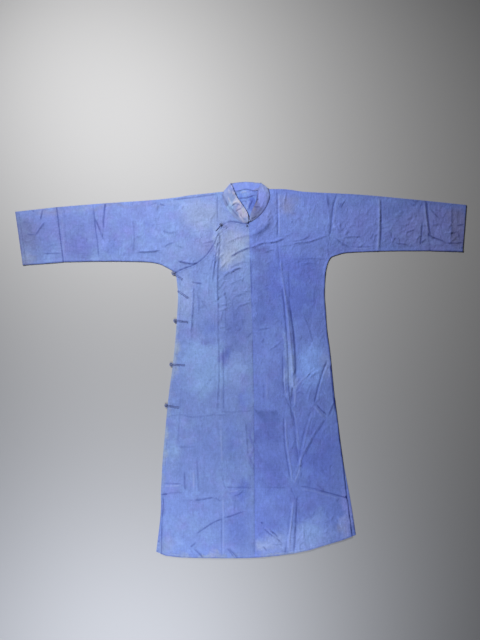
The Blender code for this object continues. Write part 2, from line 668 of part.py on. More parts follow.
def cord_object(name, points):
    """A length of round cord."""
    data = bpy.data.curves.new(name, "CURVE")
    data.dimensions = "3D"
    data.bevel_depth = CORD / 2
    data.bevel_resolution = 1
    data.use_fill_caps = True
    spline = data.splines.new("POLY")
    spline.points.add(len(points) - 1)
    for slot, place in zip(spline.points, points):
        slot.co = (*place, 1.0)
    add_object(name, data, CORD_BLUE, 0.8)


def loop(name, ball_place, inner_end, z):
    """A cord doubled back on itself, with a ring at its outer end that takes the ball."""
    out = Vector((ball_place.x - inner_end.x, ball_place.y - inner_end.y, 0.0)).normalized()
    side = Vector((-out.y, out.x, 0.0))
    centre = Vector((ball_place.x, ball_place.y, z))
    start = Vector((inner_end.x, inner_end.y, z))
    spread = CORD * 0.9
    opening = math.asin(spread / (RING / 2))
    ring = []
    for i in range(9):
        angle = math.pi - opening - (2 * math.pi - 2 * opening) * i / 8
        ring.append(centre + (out * math.cos(angle) + side * math.sin(angle)) * RING / 2)
    strip = start.lerp(centre, 0.5)
    points = [start + side * spread, strip + side * spread, *ring, strip - side * spread, start - side * spread]
    cord_object(name, points)


def frogs():
    """The fasteners along the flap's edge."""
    flap_top = LEVEL * 2 + CLOTH
    cord_z = flap_top + GAP + CORD / 2
    for frog in FROGS:
        name = frog.name.split("_")
        ending = "_" + name[1] if len(name) > 1 else ""
        ball(name[0] + "_button" + ending, frog.ball, frog.ball_size, GAP + frog.ball_size / 2)
        loop(name[0] + "_loop" + ending, frog.ball, frog.inner_end, cord_z)
    panel_top = LEVEL + CLOTH
    chest_ball_z = panel_top + GAP + BALL / 2
    ball("chest_button", CHEST_BALL, BALL, chest_ball_z)
    loop("chest_loop", CHEST_BALL, CHEST_LOOP_END, cord_z)
    tail_z = panel_top + GAP + CORD / 2
    away = Vector((CHEST_TAIL_END.x - CHEST_BALL.x, CHEST_TAIL_END.y - CHEST_BALL.y, 0.0)).normalized()
    tail_start = Vector((*CHEST_BALL, tail_z)) + away * (RING / 2 + CORD / 2 + GAP)
    cord_object("chest_tail", [tail_start, Vector((*CHEST_TAIL_END, tail_z))])
    ball("collar_button", COLLAR_BALL, SMALL_BALL, flap_top + GAP + SMALL_BALL / 2)
    spare = [Vector((*p, cord_z)) for p in SPARE_LOOP]
    side = Vector((spare[1].y - spare[0].y, spare[0].x - spare[1].x, 0.0)).normalized() * CORD * 0.6
    cord_object("spare_loop", [spare[1] + side, spare[0] + side, spare[0] - side, spare[1] - side])


def main():
    for old in list(bpy.data.objects):
        bpy.data.objects.remove(old, do_unlink=True)
    left_panel()
    right_panel()
    front_flap()
    sleeve_end("right_sleeve_end", RIGHT_TOP, RIGHT_UNDER, RIGHT_SLEEVE_SEAM, RIGHT_CUFF, 1, FADED_BLUE)
    sleeve_end("left_sleeve_end", LEFT_TOP, LEFT_UNDER, LEFT_SLEEVE_SEAM, LEFT_CUFF, -1, DEEP_BLUE)
    collar()
    frogs()


main()
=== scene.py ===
import math

import bpy
import numpy as np
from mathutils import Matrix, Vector, noise
from mathutils.geometry import delaunay_2d_cdt
from mathutils.kdtree import KDTree


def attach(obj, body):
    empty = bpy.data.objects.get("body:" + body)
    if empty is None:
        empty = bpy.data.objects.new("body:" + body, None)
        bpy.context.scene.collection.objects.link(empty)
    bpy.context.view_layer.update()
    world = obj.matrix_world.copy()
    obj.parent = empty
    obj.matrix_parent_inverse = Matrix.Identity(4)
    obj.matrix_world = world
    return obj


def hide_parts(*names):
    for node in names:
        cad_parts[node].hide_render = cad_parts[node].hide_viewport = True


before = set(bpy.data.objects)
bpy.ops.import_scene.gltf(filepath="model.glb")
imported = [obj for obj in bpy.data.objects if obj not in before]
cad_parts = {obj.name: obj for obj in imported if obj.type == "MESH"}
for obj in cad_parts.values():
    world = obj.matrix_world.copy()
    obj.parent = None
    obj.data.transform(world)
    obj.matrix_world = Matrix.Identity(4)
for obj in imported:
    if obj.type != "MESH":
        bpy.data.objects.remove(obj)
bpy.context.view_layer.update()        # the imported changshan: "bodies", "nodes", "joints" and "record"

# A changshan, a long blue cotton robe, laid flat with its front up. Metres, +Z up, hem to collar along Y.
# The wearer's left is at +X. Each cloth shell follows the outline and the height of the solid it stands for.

mm = 0.001

# Cloth, its layers and the mesh that carries it
cloth = {
    "wall": 1.2 * mm,
    "gap": 0.3 * mm,
    "level": 1.5 * mm,            # from one layer's underside to the next one's
    "fineStep": 4.4 * mm,         # mesh spacing on the front
    "coarseStep": 9.0 * mm,       # and on hidden layers
    "edgeStep": 4.6 * mm,
    "foldSides": 5,               # flats round a folded edge
    "foldOut": 1.0 * mm,          # and how far it bows out
    "innerShare": 0.8,            # how much of the front's relief the inner front under the flap has
    "backShare": 0.33,            # and the back, apart from backSeamReach each side of its seam
    "backSeamReach": 6 * mm,
    "neckShare": 0.5,             # of the neck's folds on the back, up to neckMost
    "neckMost": 2 * mm,
}

# Outlines, as points in metres
hem = [
    (-0.338, -0.7265), (-0.299, -0.7420), (-0.235, -0.7490), (-0.171, -0.7510), (-0.075, -0.7520),
    (0.021, -0.7515), (0.085, -0.7480), (0.149, -0.7420), (0.213, -0.7330), (0.277, -0.7190),
    (0.341, -0.6990), (0.405, -0.6800), (0.460, -0.6590),
]
rightTop = [
    (-0.901, 0.6310), (-0.740, 0.6490), (-0.555, 0.6640), (-0.363, 0.6770), (-0.267, 0.6870),
    (-0.203, 0.6970), (-0.139, 0.7040), (-0.069, 0.7115),
]
leftTop = [
    (0.1135, 0.7220), (0.181, 0.7210), (0.245, 0.7120), (0.309, 0.7080), (0.437, 0.7020),
    (0.533, 0.6950), (0.629, 0.6860), (0.739, 0.6755), (0.9010, 0.6583),
]
rightUnder = [
    (-0.871, 0.4205), (-0.779, 0.4270), (-0.700, 0.4335), (-0.555, 0.4360), (-0.395, 0.4345),
    (-0.331, 0.4270), (-0.295, 0.4110), (-0.2590, 0.3900),
]
leftUnder = [
    (0.3370, 0.3840), (0.3430, 0.4160), (0.353, 0.4420), (0.363, 0.4530), (0.381, 0.4600),
    (0.405, 0.4670), (0.437, 0.4710), (0.533, 0.4750), (0.629, 0.4770), (0.757, 0.4775),
    (0.8865, 0.4740),
]
centreSeam = [
    (0.057, -0.760), (0.055, -0.464), (0.053, -0.120), (0.047, 0.156), (0.040, 0.300),
    (0.036, 0.450), (0.034, 0.584), (0.022, 0.724),
]
backNeck = [(-0.069, 0.7115), (-0.017, 0.7145), (0.022, 0.7230), (0.057, 0.7165), (0.1135, 0.7220)]
flapEdge = [
    (0.033, 0.5845), (0.008, 0.5855), (-0.012, 0.5905), (-0.041, 0.5930), (-0.062, 0.5870),
    (-0.076, 0.5720), (-0.091, 0.5440), (-0.107, 0.5060), (-0.139, 0.4580), (-0.183, 0.4230),
    (-0.228, 0.4060), (-0.2585, 0.3910),
]
# Side edges below the armpits: level, back right, flap right, front left, back left
sections = [
    (0.300, -0.2505, -0.2505, 0.3340, 0.3340),
    (0.240, -0.2530, -0.2530, 0.3385, 0.3385),
    (0.160, -0.2580, -0.2580, 0.3440, 0.3440),
    (0.080, -0.2650, -0.2650, 0.3550, 0.3550),
    (0.000, -0.2740, -0.2740, 0.3635, 0.3635),
    (-0.090, -0.2860, -0.2860, 0.3725, 0.3725),
    (-0.180, -0.2955, -0.2955, 0.3840, 0.3840),
    (-0.270, -0.3040, -0.3040, 0.3950, 0.3950),
    (-0.350, -0.3115, -0.3110, 0.4060, 0.4065),
    (-0.420, -0.3155, -0.3145, 0.4140, 0.4195),
    (-0.490, -0.3190, -0.3170, 0.4220, 0.4330),
    (-0.530, -0.3185, -0.3120, 0.4275, 0.4400),
    (-0.575, -0.3200, -0.3160, 0.4340, 0.4475),
    (-0.625, -0.3250, -0.3190, 0.4405, 0.4550),
]
hemCorners = {"backRight": -0.3380, "flapRight": -0.3205, "frontLeft": 0.4450, "backLeft": 0.4600}
seams = {                          # top x, underside x
    "rightCuff": (-0.9010, -0.8710),
    "rightSleeve": (-0.7356, -0.7088),
    "leftSleeve": (0.7384, 0.7570),
    "leftCuff": (0.9010, 0.8865),
}
neck = {
    "middle": 0.022,
    "halfWidth": 0.096,
    "level": 0.698,
    "depth": 0.112,
    "power": 1.6,
    "centreAngle": math.radians(79),
    "openLevel": 0.665,            # middle and half sizes of what shows of the back
    "openHalf": (0.062, 0.070),
}
leftVentTop = -0.350               # the left side is sewn down to here
# The inner front under the flap
underlap = {
    "hem": -0.172,
    "settle": 26 * mm,             # below its hem the outer front comes down over this length
    "settled": 2 * mm,
    "inset": 16 * mm,              # from the centre seam
    "seamLift": 50 * mm,           # the left front slopes down beside the seam over this width
    "side": 10 * mm,               # its side edge keeps clear of the flap's, over sideOver from the armpit
    "sideOver": 200 * mm,
    "free": 2 * mm,                # it has the front's full relief once it is this far above the flap's edge
    "freeReach": 16 * mm,
}

# Folds, pressed lines and pinches of the front, in mm: height of the crest over the cloth (a valley is
# negative), width of the flank towards the light, width of the other flank, tone of the line (dark is
# negative: soil with painted shade along the fold; light is rubbing with painted highlight on the crest), and
# the crest's points
flapFolds = [
    # the pressed line beside the front, and what runs along it
    (1.7, 9, 5, -0.5, (-89, 240), (-93, 311), (-92, 400), (-87, 474), (-84, 554)),
    (1.3, 9, 5, -0.3, (-94, -157), (-87, 0), (-91, 145), (-91, 252)),
    (2.1, 6, 4, -0.6, (-114, 350), (-107, 400), (-103, 440), (-96, 489), (-91, 516)),
    (0.7, 6, 5, -0.15, (-129, 300), (-127, 350), (-120, 396)),
    (1, 6, 4, -0.2, (-124, 392), (-112, 440), (-103, 478)),
    (1.5, 6, 4, -0.15, (-114, 482), (-102, 516), (-94, 540), (-84, 562)),
    (1.2, 5, 4, -0.2, (-101, 478), (-95, 500), (-88, 524)),
    (-0.6, 5, 6, -0.4, (-68, -165), (-68, -40), (-70, 96)),
    (1, 6, 6, 0.05, (-80, -155), (-77, -40), (-79, 80)),
    (0.6, 9, 8, -0.2, (-60, 160), (-62, 230), (-66, 290)),
    (0.6, 8, 7, -0.25, (-79, 190), (-74, 222), (-66, 246)),
    (-1, 5, 5, -0.4, (-91, 582), (-93, 640), (-93, 706)),
    # side below the armpit
    (1.8, 9, 6, -0.45, (-197, 150), (-193, 222), (-190, 272), (-187, 342)),
    (0.7, 8, 6, -0.1, (-197, 104), (-199, 160)),
    (1.1, 5, 4, -0.65, (-201, 352), (-150, 345)),
    (0.9, 14, 12, -0.4, (-166, 232), (-168, 268), (-171, 304)),
    (0.8, 12, 10, -0.15, (-168, 296), (-139, 250), (-108, 207)),
    (0.8, 8, 6, -0.05, (-190, 401), (-150, 387), (-112, 387)),
    # breast and waist
    (1.6, 12, 8, -1, (-44, 448), (-28, 460), (-3, 474), (16, 482), (40, 491)),
    (2.2, 12, 9, -0.25, (-71, 378), (-55, 384), (-37, 394), (-13, 406), (12, 408)),
    (1, 8, 6, -0.35, (-39, 392), (-21, 402), (0, 407)),
    (1.4, 12, 9, -0.15, (-60, 504), (-19, 525), (13, 535), (44, 538)),
    (0.7, 8, 6, -0.25, (-44, 405), (-13, 424), (8, 431), (36, 431)),
    (0.8, 8, 6, -0.15, (-25, 180), (-31, 235), (-33, 274), (-21, 296), (21, 308)),
    (0.9, 6, 5, -0.15, (-24, 290), (-1, 302), (25, 307)),
    (1, 9, 6, -0.1, (-71, 328), (-29, 350), (21, 370)),
    (0.8, 8, 6, -0.1, (-69, 261), (-39, 299), (-21, 344)),
    (0.8, 8, 6, -0.15, (-30, 230), (4, 262), (28, 290)),
    (2, 8, 6, -0.2, (-68, 329), (-60, 280), (-56, 236)),
    (1.4, 6, 5, -0.25, (7, 176), (5, 212)),
    (0.9, 8, 6, -0.35, (24, 128), (50, 158)),
    (-0.6, 16, 16, -0.05, (-62, 20), (-56, 90), (-48, 150)),
    (0.6, 12, 8, -0.2, (-181, -110), (-150, -70), (-109, -26)),
    # the inner front's hem, felt through the flap
    (0.9, 9, 6, -0.2, (-292, -182), (-262, -181), (-236, -177), (-203, -187), (-163, -186), (-123, -180),
     (-97, -175)),
    (0.8, 7, 5, -0.2, (-88, -163), (-43, -167), (-3, -165), (48, -161)),
    (0.5, 6, 5, -0.35, (-101, -180), (-56, -179)),
    # skirt
    (-0.6, 5, 6, -0.05, (-83, -372), (-86, -300), (-88, -240), (-90, -186)),
    (0.6, 6, 5, 0.15, (-75, -372), (-78, -290), (-80, -196)),
    (-1.1, 5, 6, -0.3, (-59, -477), (-68, -452), (-72, -424)),
    (-0.5, 4, 5, -0.3, (-76, -744), (-76, -640), (-75, -560)),
    (0.7, 5, 5, 0.15, (-70, -744), (-70, -640), (-70, -540), (-72, -504)),
    (2.2, 7, 5, -0.25, (27, -345), (24, -283), (17, -203)),
    (0.6, 6, 5, -0.15, (63, -397), (43, -367), (29, -341)),
    (0.7, 6, 5, -0.15, (50, -400), (36, -372), (27, -348)),
    (1.2, 10, 9, -0.4, (-169, -490), (-171, -430), (-176, -350)),
    (0.6, 8, 7, 0.25, (-188, -480), (-188, -400)),
    (0.9, 8, 6, -0.2, (-262, -305), (-220, -308), (-180, -306)),
    (-0.5, 14, 14, -0.2, (-253, -300), (-245, -200), (-235, -60)),
    (1.4, 6, 5, -0.4, (-312, -452), (-275, -454), (-236, -454)),
    (0.7, 5, 5, 0.3, (-308, -464), (-270, -463), (-236, -460)),
    (2.5, 9, 5, -0.85, (-317, -498), (-306, -496), (-292, -495)),
    (0.6, 9, 8, -0.25, (-300, -495), (-262, -489), (-224, -491)),
    # painted shadow along the flap's edge beside the vent
    (-0.4, 5, 5, -0.75, (-312, -502), (-309, -530), (-312, -575), (-315, -625), (-317, -740)),
    (0.6, 7, 6, -0.45, (-220, -488), (-224, -452), (-224, -400)),
    (2, 9, 5, -0.15, (-240, -523), (-210, -522), (-186, -520)),
    (3.1, 10, 5, -0.6, (-190, -521), (-160, -517), (-130, -512), (-104, -507)),
    (1.6, 7, 5, -0.35, (-105, -510), (-89, -518), (-79, -526)),
    (0.8, 8, 6, -0.3, (-66, -468), (-10, -469), (52, -470)),
    (1.5, 6, 5, -0.4, (-34, -504), (-14, -499), (3, -489), (11, -475)),
    (0.4, 6, 5, 0.15, (-52, -486), (-20, -482), (0, -474)),
    (1.1, 7, 5, -0.15, (-30, -590), (-25, -540), (-17, -506)),
    # hem
    (1.3, 11, 7, -0.75, (-180, -656), (-160, -642), (-140, -628), (-115, -612), (-90, -600), (-72, -596)),
    (1.1, 12, 7, -0.5, (-72, -592), (-50, -586), (-31, -580), (1, -568), (20, -564)),
    (0.7, 10, 8, -0.05, (-202, -681), (-157, -645)),
    (2.5, 8, 5, -0.45, (-204, -708), (-192, -700), (-178, -688)),
    (2.3, 8, 5, -0.85, (-190, -712), (-167, -732), (-149, -752)),
    (0.8, 7, 5, -0.2, (-213, -703), (-195, -725), (-185, -744)),
    (1.1, 6, 5, -0.45, (-57, -710), (-39, -730), (-25, -750)),
    (1.5, 6, 5, -0.45, (-49, -710), (-29, -732), (-11, -752)),
]
leftFrontFolds = [
    # the pressed line from the shoulder to the hem: its long ridge with a shadow on each side
    (-1.7, 5, 7, -0.6, (147, 528), (147, 627), (144, 722)),
    (0.7, 6, 8, 0.3, (155, 536), (155, 640), (154, 704)),
    (-2, 5, 6, -0.2, (167, 380), (156, 413), (151, 474), (147, 508)),
    (2.7, 12, 9, 0.2, (205, 30), (200, 100), (194, 160), (186, 240), (174, 320), (165, 375), (158, 440)),
    (-1.4, 6, 13, -0.5, (218, -30), (221, 30), (217, 90), (211, 150), (201, 210), (192, 290)),
    (-0.6, 6, 10, -0.4, (196, 290), (193, 345), (190, 400)),
    (-1.2, 5, 6, -0.65, (204, -152), (198, -120), (191, -60), (190, 0), (185, 110), (175, 240), (166, 330)),
    # the bundle where it meets the folds of the hip
    (-1, 5, 6, -0.5, (199, -153), (183, -121), (171, -60), (167, 62)),
    (1.2, 5, 5, 0.45, (188, -140), (180, -110), (176, -60), (174, 20)),
    (3, 8, 7, 0.1, (211, -66), (209, -20), (206, 20), (203, 60)),
    (-1.3, 6, 7, -0.75, (203, -130), (205, -90), (206, -60)),
    (1.3, 6, 6, 0.55, (214, -140), (217, -110), (219, -76)),
    (1.1, 7, 5, 0.4, (203, -61), (214, -69), (226, -67)),
    (1.8, 6, 6, 0.3, (222, -66), (246, -39), (271, -17), (294, 7)),
    (0.4, 5, 5, -0.05, (230, -76), (256, -50), (294, -12)),
    (1.5, 6, 5, -0.2, (219, -99), (236, -86), (254, -99)),
    (0.6, 6, 5, -0.15, (228, -116), (244, -105), (258, -114)),
    (-1.5, 6, 6, -0.55, (195, -140), (200, -154), (205, -196)),
    (-1, 5, 5, -0.2, (206, -160), (210, -180), (217, -228)),
    (1.2, 6, 6, 0.2, (211, -150), (218, -190), (225, -226)),
    # slants of the hip and thigh
    (-2.4, 8, 9, -1, (293, -134), (307, -76), (323, -20), (333, 10), (345, 40)),
    (1.1, 7, 8, 0.15, (303, -128), (317, -72), (332, -22), (352, 30)),
    (-1.2, 6, 8, -0.15, (230, -366), (247, -280), (259, -228), (281, -161)),
    (1.5, 8, 8, 0.1, (241, -356), (257, -280), (269, -227), (290, -165)),
    (1.6, 6, 7, 0.1, (286, -138), (314, -166), (342, -196)),
    (1.5, 8, 6, -0.65, (348, -188), (363, -152), (380, -112)),
    (2, 10, 7, 0.1, (213, -430), (229, -392), (246, -344), (273, -287), (301, -239), (335, -189)),
    (-1, 6, 8, -0.45, (257, -344), (282, -289), (310, -242), (341, -194)),
    (-0.8, 5, 6, -0.15, (224, -366), (214, -260), (206, -180)),
    (1, 5, 5, 0.2, (231, -320), (220, -240)),
    # skirt
    (1.6, 6, 5, 0.4, (210, -462), (234, -400), (239, -338)),
    (-0.9, 5, 5, -0.1, (242, -444), (247, -360)),
    (-0.9, 5, 5, -0.1, (224, -464), (241, -426), (253, -396)),
    (-1.4, 5, 6, -0.25, (200, -466), (210, -494), (223, -524)),
    (2.8, 9, 8, 0.45, (187, -737), (194, -672), (202, -600), (210, -520)),
    (-0.9, 7, 13, -0.25, (212, -738), (212, -700), (218, -620), (224, -540)),
    (-1.1, 5, 5, -0.3, (176, -738), (182, -700), (192, -620), (200, -548)),
    (-1, 4, 5, -0.15, (234, -600), (232, -515)),
    (1.2, 8, 8, 0.2, (250, -700), (250, -600)),
    (-1.8, 5, 7, -0.4, (236, -463), (277, -470), (317, -479)),
    (-2.8, 6, 8, -0.85, (308, -479), (357, -492), (385, -500), (436, -514)),
    # painted shadow along the left side edge
    (-0.9, 6, 6, -0.7, (357, 30), (361, -10), (367, -70), (372, -120), (378, -170)),
    (1.5, 8, 9, 0.25, (240, -474), (300, -486), (357, -503), (400, -514)),
    (1.3, 6, 5, -0.25, (303, -457), (335, -482)),
    (0.6, 6, 5, -0.15, (329, -435), (373, -479)),
    (0.7, 8, 7, -0.2, (64, -471), (110, -468), (190, -470)),
    # hem
    (2.8, 6, 6, 0.3, (96, -624), (124, -653), (154, -682)),
    (-1.6, 5, 5, -0.7, (87, -628), (114, -652), (140, -670), (166, -692)),
    (-1.5, 5, 5, -0.8, (119, -639), (137, -655), (151, -671)),
    (-1.6, 5, 5, -2.4, (80, -610), (85, -610), (90, -610)),
    (1.3, 6, 5, -0.35, (124, -697), (168, -697)),
    (0.9, 5, 4, -0.25, (178, -734), (179, -702)),
    (1.5, 5, 4, -0.4, (185, -736), (186, -706)),
    (-0.7, 5, 5, -0.65, (88, -703), (96, -712), (104, -723)),
    (1.4, 7, 6, -0.1, (237, -726), (233, -690)),
    (0.7, 8, 7, -0.15, (262, -716), (254, -668)),
    # breast and shoulder
    (2.5, 12, 6, -0.45, (34, 486), (61, 496), (85, 506), (125, 510), (149, 516), (180, 529)),
    (0.8, 9, 6, -0.25, (171, 529), (213, 550)),
    (1.6, 9, 6, -0.1, (89, 468), (113, 477), (136, 482)),
    (0.8, 9, 6, -0.3, (150, 493), (178, 496), (206, 498)),
    # painted shadow of the collar on the breast, and painted highlight on the ridge beside it
    (2.1, 20, 18, -0.25, (33, 538), (58, 542), (82, 555), (103, 574), (114, 598)),
    (1.1, 12, 10, 0.1, (58, 563), (83, 583), (104, 609), (120, 647)),
    (-1.2, 5, 5, -1.2, (201, 592), (205, 592), (209, 591)),
    # beside the centre seam
    (-0.6, 4, 5, -0.45, (40, 452), (42, 380), (45, 290)),
    (-0.4, 4, 5, -0.1, (45, 290), (49, 200), (51, 150)),
    (-0.6, 4, 5, -0.25, (47, 130), (50, 0), (52, -120)),
    (-0.5, 8, 8, -0.3, (52, -130), (53, -300), (54, -460), (54, -742)),
    # armhole
    (-1.7, 6, 8, -0.65, (349, 530), (356, 548), (362, 590), (365, 622), (370, 660), (384, 706)),
    (0.6, 9, 14, 0.2, (370, 556), (376, 620), (382, 660), (395, 701)),
    (0.9, 7, 4, -0.6, (351, 652), (347, 680), (345, 706)),
    # from the breast to the armhole, and below it
    (2.1, 11, 6, -0.35, (202, 500), (225, 507), (257, 510), (277, 513), (309, 525), (350, 538)),
    (1.3, 8, 5, -0.4, (203, 515), (237, 518), (261, 528), (280, 542)),
    (0.9, 7, 6, -0.2, (352, 448), (347, 486), (351, 528)),
    (0.8, 8, 6, 0.05, (360, 462), (357, 500), (360, 524)),
    (1, 8, 6, -0.2, (240, 446), (290, 446), (343, 444)),
    (0.8, 7, 5, -0.15, (236, 423), (290, 427), (319, 421)),
    (0.6, 7, 5, -0.15, (232, 404), (228, 439), (219, 469)),
    (1.4, 6, 5, -0.15, (173, 656), (182, 712)),
    # waist
    (1.3, 8, 6, -0.25, (285, 116), (271, 170), (249, 222)),
    (0.6, 9, 8, -0.2, (291, 258), (295, 340)),
    (0.8, 7, 5, -0.15, (262, 394), (286, 346)),
    (1.5, 8, 6, -0.35, (66, 158), (84, 164), (122, 169)),
    (1.2, 8, 6, -0.3, (103, 70), (134, 92), (165, 115)),
    (0.5, 7, 6, -0.2, (82, 108), (94, 126)),
    (0.5, 7, 6, -0.2, (123, 20), (127, 66)),
    (0.6, 9, 7, -0.05, (324, 88), (339, 28)),
    # from the bundle down the skirt, and a few that were added last
    (-1.5, 6, 7, -0.45, (171, -180), (173, -240), (177, -300), (185, -360), (193, -408), (199, -440)),
    (1.7, 7, 7, 0.3, (179, -200), (183, -280), (191, -340), (201, -400), (205, -448)),
    (-1.2, 5, 6, -0.35, (205, -160), (213, -200), (221, -280), (227, -340), (229, -380)),
    (1.1, 5, 5, 0.2, (225, -220), (233, -300)),
    (-1.9, 7, 8, -0.95, (301, -136), (321, -158), (345, -180)),
    (1.9, 7, 7, 0.25, (293, -144), (313, -170), (333, -192)),
    (1, 5, 5, 0.2, (105, -20), (105, -130)),
    (-0.8, 5, 5, -0.2, (93, -50), (93, -120)),
    (-0.6, 9, 9, -0.8, (199, 250), (206, 190), (211, 140), (214, 90), (217, 30), (217, -20)),
    (-1.3, 8, 10, -0.5, (227, -496), (225, -520), (221, -600), (217, -680), (213, -728)),
    (1.3, 9, 7, 0.5, (203, -600), (197, -660), (195, -732)),
    (-1.4, 8, 8, -1.6, (417, -502), (434, -510)),
]
leftSleeveFolds = [
    # elbow
    (2.3, 12, 10, 0.45, (548, 474), (552, 560), (554, 640), (552, 690)),
    (-1.1, 5, 7, -0.8, (557, 474), (560, 540), (561, 600), (560, 684)),
    # upper arm
    (1.5, 8, 5, -0.3, (405, 527), (445, 533), (486, 532)),
    (1.1, 7, 5, -0.35, (369, 535), (399, 511), (442, 486)),
    (0.9, 6, 5, -0.2, (379, 522), (405, 502), (425, 488)),
    (1, 6, 5, -0.4, (436, 493), (480, 492), (528, 493)),
    (1.6, 6, 5, 0.3, (440, 486), (480, 485), (530, 487)),
    (1, 7, 5, -0.65, (518, 522), (530, 546)),
    (0.9, 6, 5, -0.35, (532, 518), (542, 544)),
    (1.1, 7, 6, -0.55, (399, 647), (408, 665), (418, 681)),
    (0.7, 6, 5, -0.55, (394, 649), (402, 671)),
    (0.5, 8, 7, -0.05, (467, 560), (471, 640)),
    (0.5, 8, 7, -0.1, (501, 570), (508, 660)),
    # forearm
    (0.9, 6, 5, -0.6, (593, 557), (598, 543), (607, 523)),
    (1.8, 7, 5, -0.55, (611, 508), (637, 505), (668, 501)),
    (1, 7, 5, -0.3, (606, 524), (636, 527)),
    (1.7, 7, 5, -0.35, (658, 550), (678, 556), (702, 564)),
    (0.8, 7, 5, -0.15, (575, 500), (592, 512), (604, 504)),
    (0.9, 7, 5, -0.45, (690, 502), (706, 514)),
    (0.4, 7, 6, -0.05, (645, 590), (640, 650)),
    (0.4, 7, 6, -0.1, (589, 600), (595, 672)),
    (-1.4, 5, 6, -0.5, (710, 626), (717, 648), (727, 672)),
    (-1.4, 5, 6, -1, (716, 492), (721, 530), (724, 560), (725, 596)),
    (2.2, 10, 9, 0.5, (750, 536), (742, 600), (734, 668)),
    (2.2, 7, 5, -0.6, (713, 507), (726, 513), (742, 526)),
    (1.9, 7, 5, -0.45, (674, 671), (689, 659), (704, 669)),
    (0.8, 6, 5, -0.35, (682, 682), (698, 671), (714, 682)),
    (-1.5, 6, 7, -1, (759, 534), (754, 562), (748, 620), (742, 680)),
    # cuff
    (2.1, 9, 6, -1, (746, 552), (757, 535), (785, 524), (806, 516), (822, 508)),
    (2.3, 8, 5, -1, (821, 508), (845, 508), (865, 508), (889, 510)),
    (0.9, 6, 5, -0.4, (828, 546), (850, 549), (872, 555)),
    (1.2, 7, 5, -0.7, (862, 578), (892, 582)),
    (1.5, 6, 5, -0.55, (869, 528), (871, 548)),
    (1.1, 7, 5, -0.5, (755, 646), (778, 620), (796, 602)),
    (0.7, 7, 6, -0.15, (770, 632), (782, 640), (806, 632)),
    (0.6, 7, 6, -0.55, (771, 576), (769, 604)),
    (1.4, 6, 8, -0.3, (839, 500), (841, 600), (843, 662)),
    (0.8, 8, 7, -0.1, (863, 560), (865, 650)),
    (0.8, 7, 5, -0.1, (762, 497), (790, 501), (826, 497)),
    (0.6, 6, 5, -0.2, (837, 495), (865, 501)),
    (0.9, 7, 7, -0.95, (880, 486), (886, 494)),
]
rightSleeveFolds = [
    # elbow
    (-0.8, 5, 6, -0.6, (-567, 446), (-571, 500), (-577, 545), (-584, 604), (-590, 664)),
    (1.4, 8, 5, -0.6, (-542, 514), (-555, 540), (-566, 568), (-578, 596), (-587, 612)),
    (-0.9, 8, 11, -0.85, (-549, 560), (-546, 620), (-540, 670)),
    (-0.8, 11, 12, -0.55, (-546, 634), (-541, 670)),
    # upper arm
    (1.4, 8, 6, -0.2, (-437, 456), (-428, 500), (-426, 540), (-433, 604)),
    (3.2, 9, 5, -0.5, (-414, 472), (-363, 473), (-330, 477), (-318, 480)),
    (1.4, 11, 8, -0.8, (-306, 489), (-292, 501), (-266, 511)),
    (1.2, 9, 7, -0.3, (-262, 497), (-230, 489)),
    (1.5, 14, 10, -0.35, (-316, 559), (-292, 550), (-264, 549)),
    # shoulder, and between the armpit and the flap's edge
    (-0.8, 8, 8, -0.4, (-370, 654), (-355, 662), (-331, 670)),
    (-1.8, 7, 7, -0.6, (-325, 664), (-299, 656)),
    (1.6, 7, 7, -0.15, (-337, 640), (-331, 668)),
    (-0.5, 6, 6, -0.5, (-275, 680), (-203, 688), (-143, 696), (-90, 702)),
    (2, 10, 6, -0.3, (-154, 505), (-131, 512), (-104, 518)),
    (0.9, 8, 6, -0.25, (-150, 495), (-120, 501)),
    (4, 9, 6, -1, (-256, 438), (-236, 432), (-216, 428), (-194, 425), (-172, 429)),
    (0.5, 9, 7, -0.05, (-539, 475), (-490, 467), (-446, 463)),
    (0.9, 8, 6, -0.1, (-280, 661), (-261, 657), (-249, 641)),
    (0.6, 9, 8, -0.05, (-210, 597), (-150, 601), (-104, 603)),
    (0.5, 9, 8, -0.05, (-214, 552), (-160, 556), (-108, 560)),
    # forearm and cuff
    (0.5, 8, 8, 0.05, (-700, 440), (-710, 540), (-718, 646)),
    (-0.7, 4, 5, -0.15, (-693, 480), (-700, 560), (-708, 650)),
    (0.4, 9, 7, -0.15, (-690, 499), (-640, 492), (-596, 494)),
    (1.5, 7, 6, -1, (-800, 600), (-796, 622), (-791, 642)),
    (-0.6, 6, 6, -0.65, (-832, 640), (-826, 630)),
    (2, 8, 5, -0.45, (-823, 534), (-803, 564), (-780, 596)),
    (0.9, 8, 5, -0.55, (-789, 465), (-760, 466), (-714, 466)),
    (1.1, 7, 5, -0.25, (-766, 497), (-736, 502)),
    (1.2, 8, 6, -0.3, (-876, 592), (-850, 590), (-835, 584)),
    (1.2, 8, 6, -0.4, (-856, 546), (-838, 541), (-820, 544)),
    (0.6, 8, 6, -0.1, (-822, 470), (-810, 490), (-796, 500)),
]
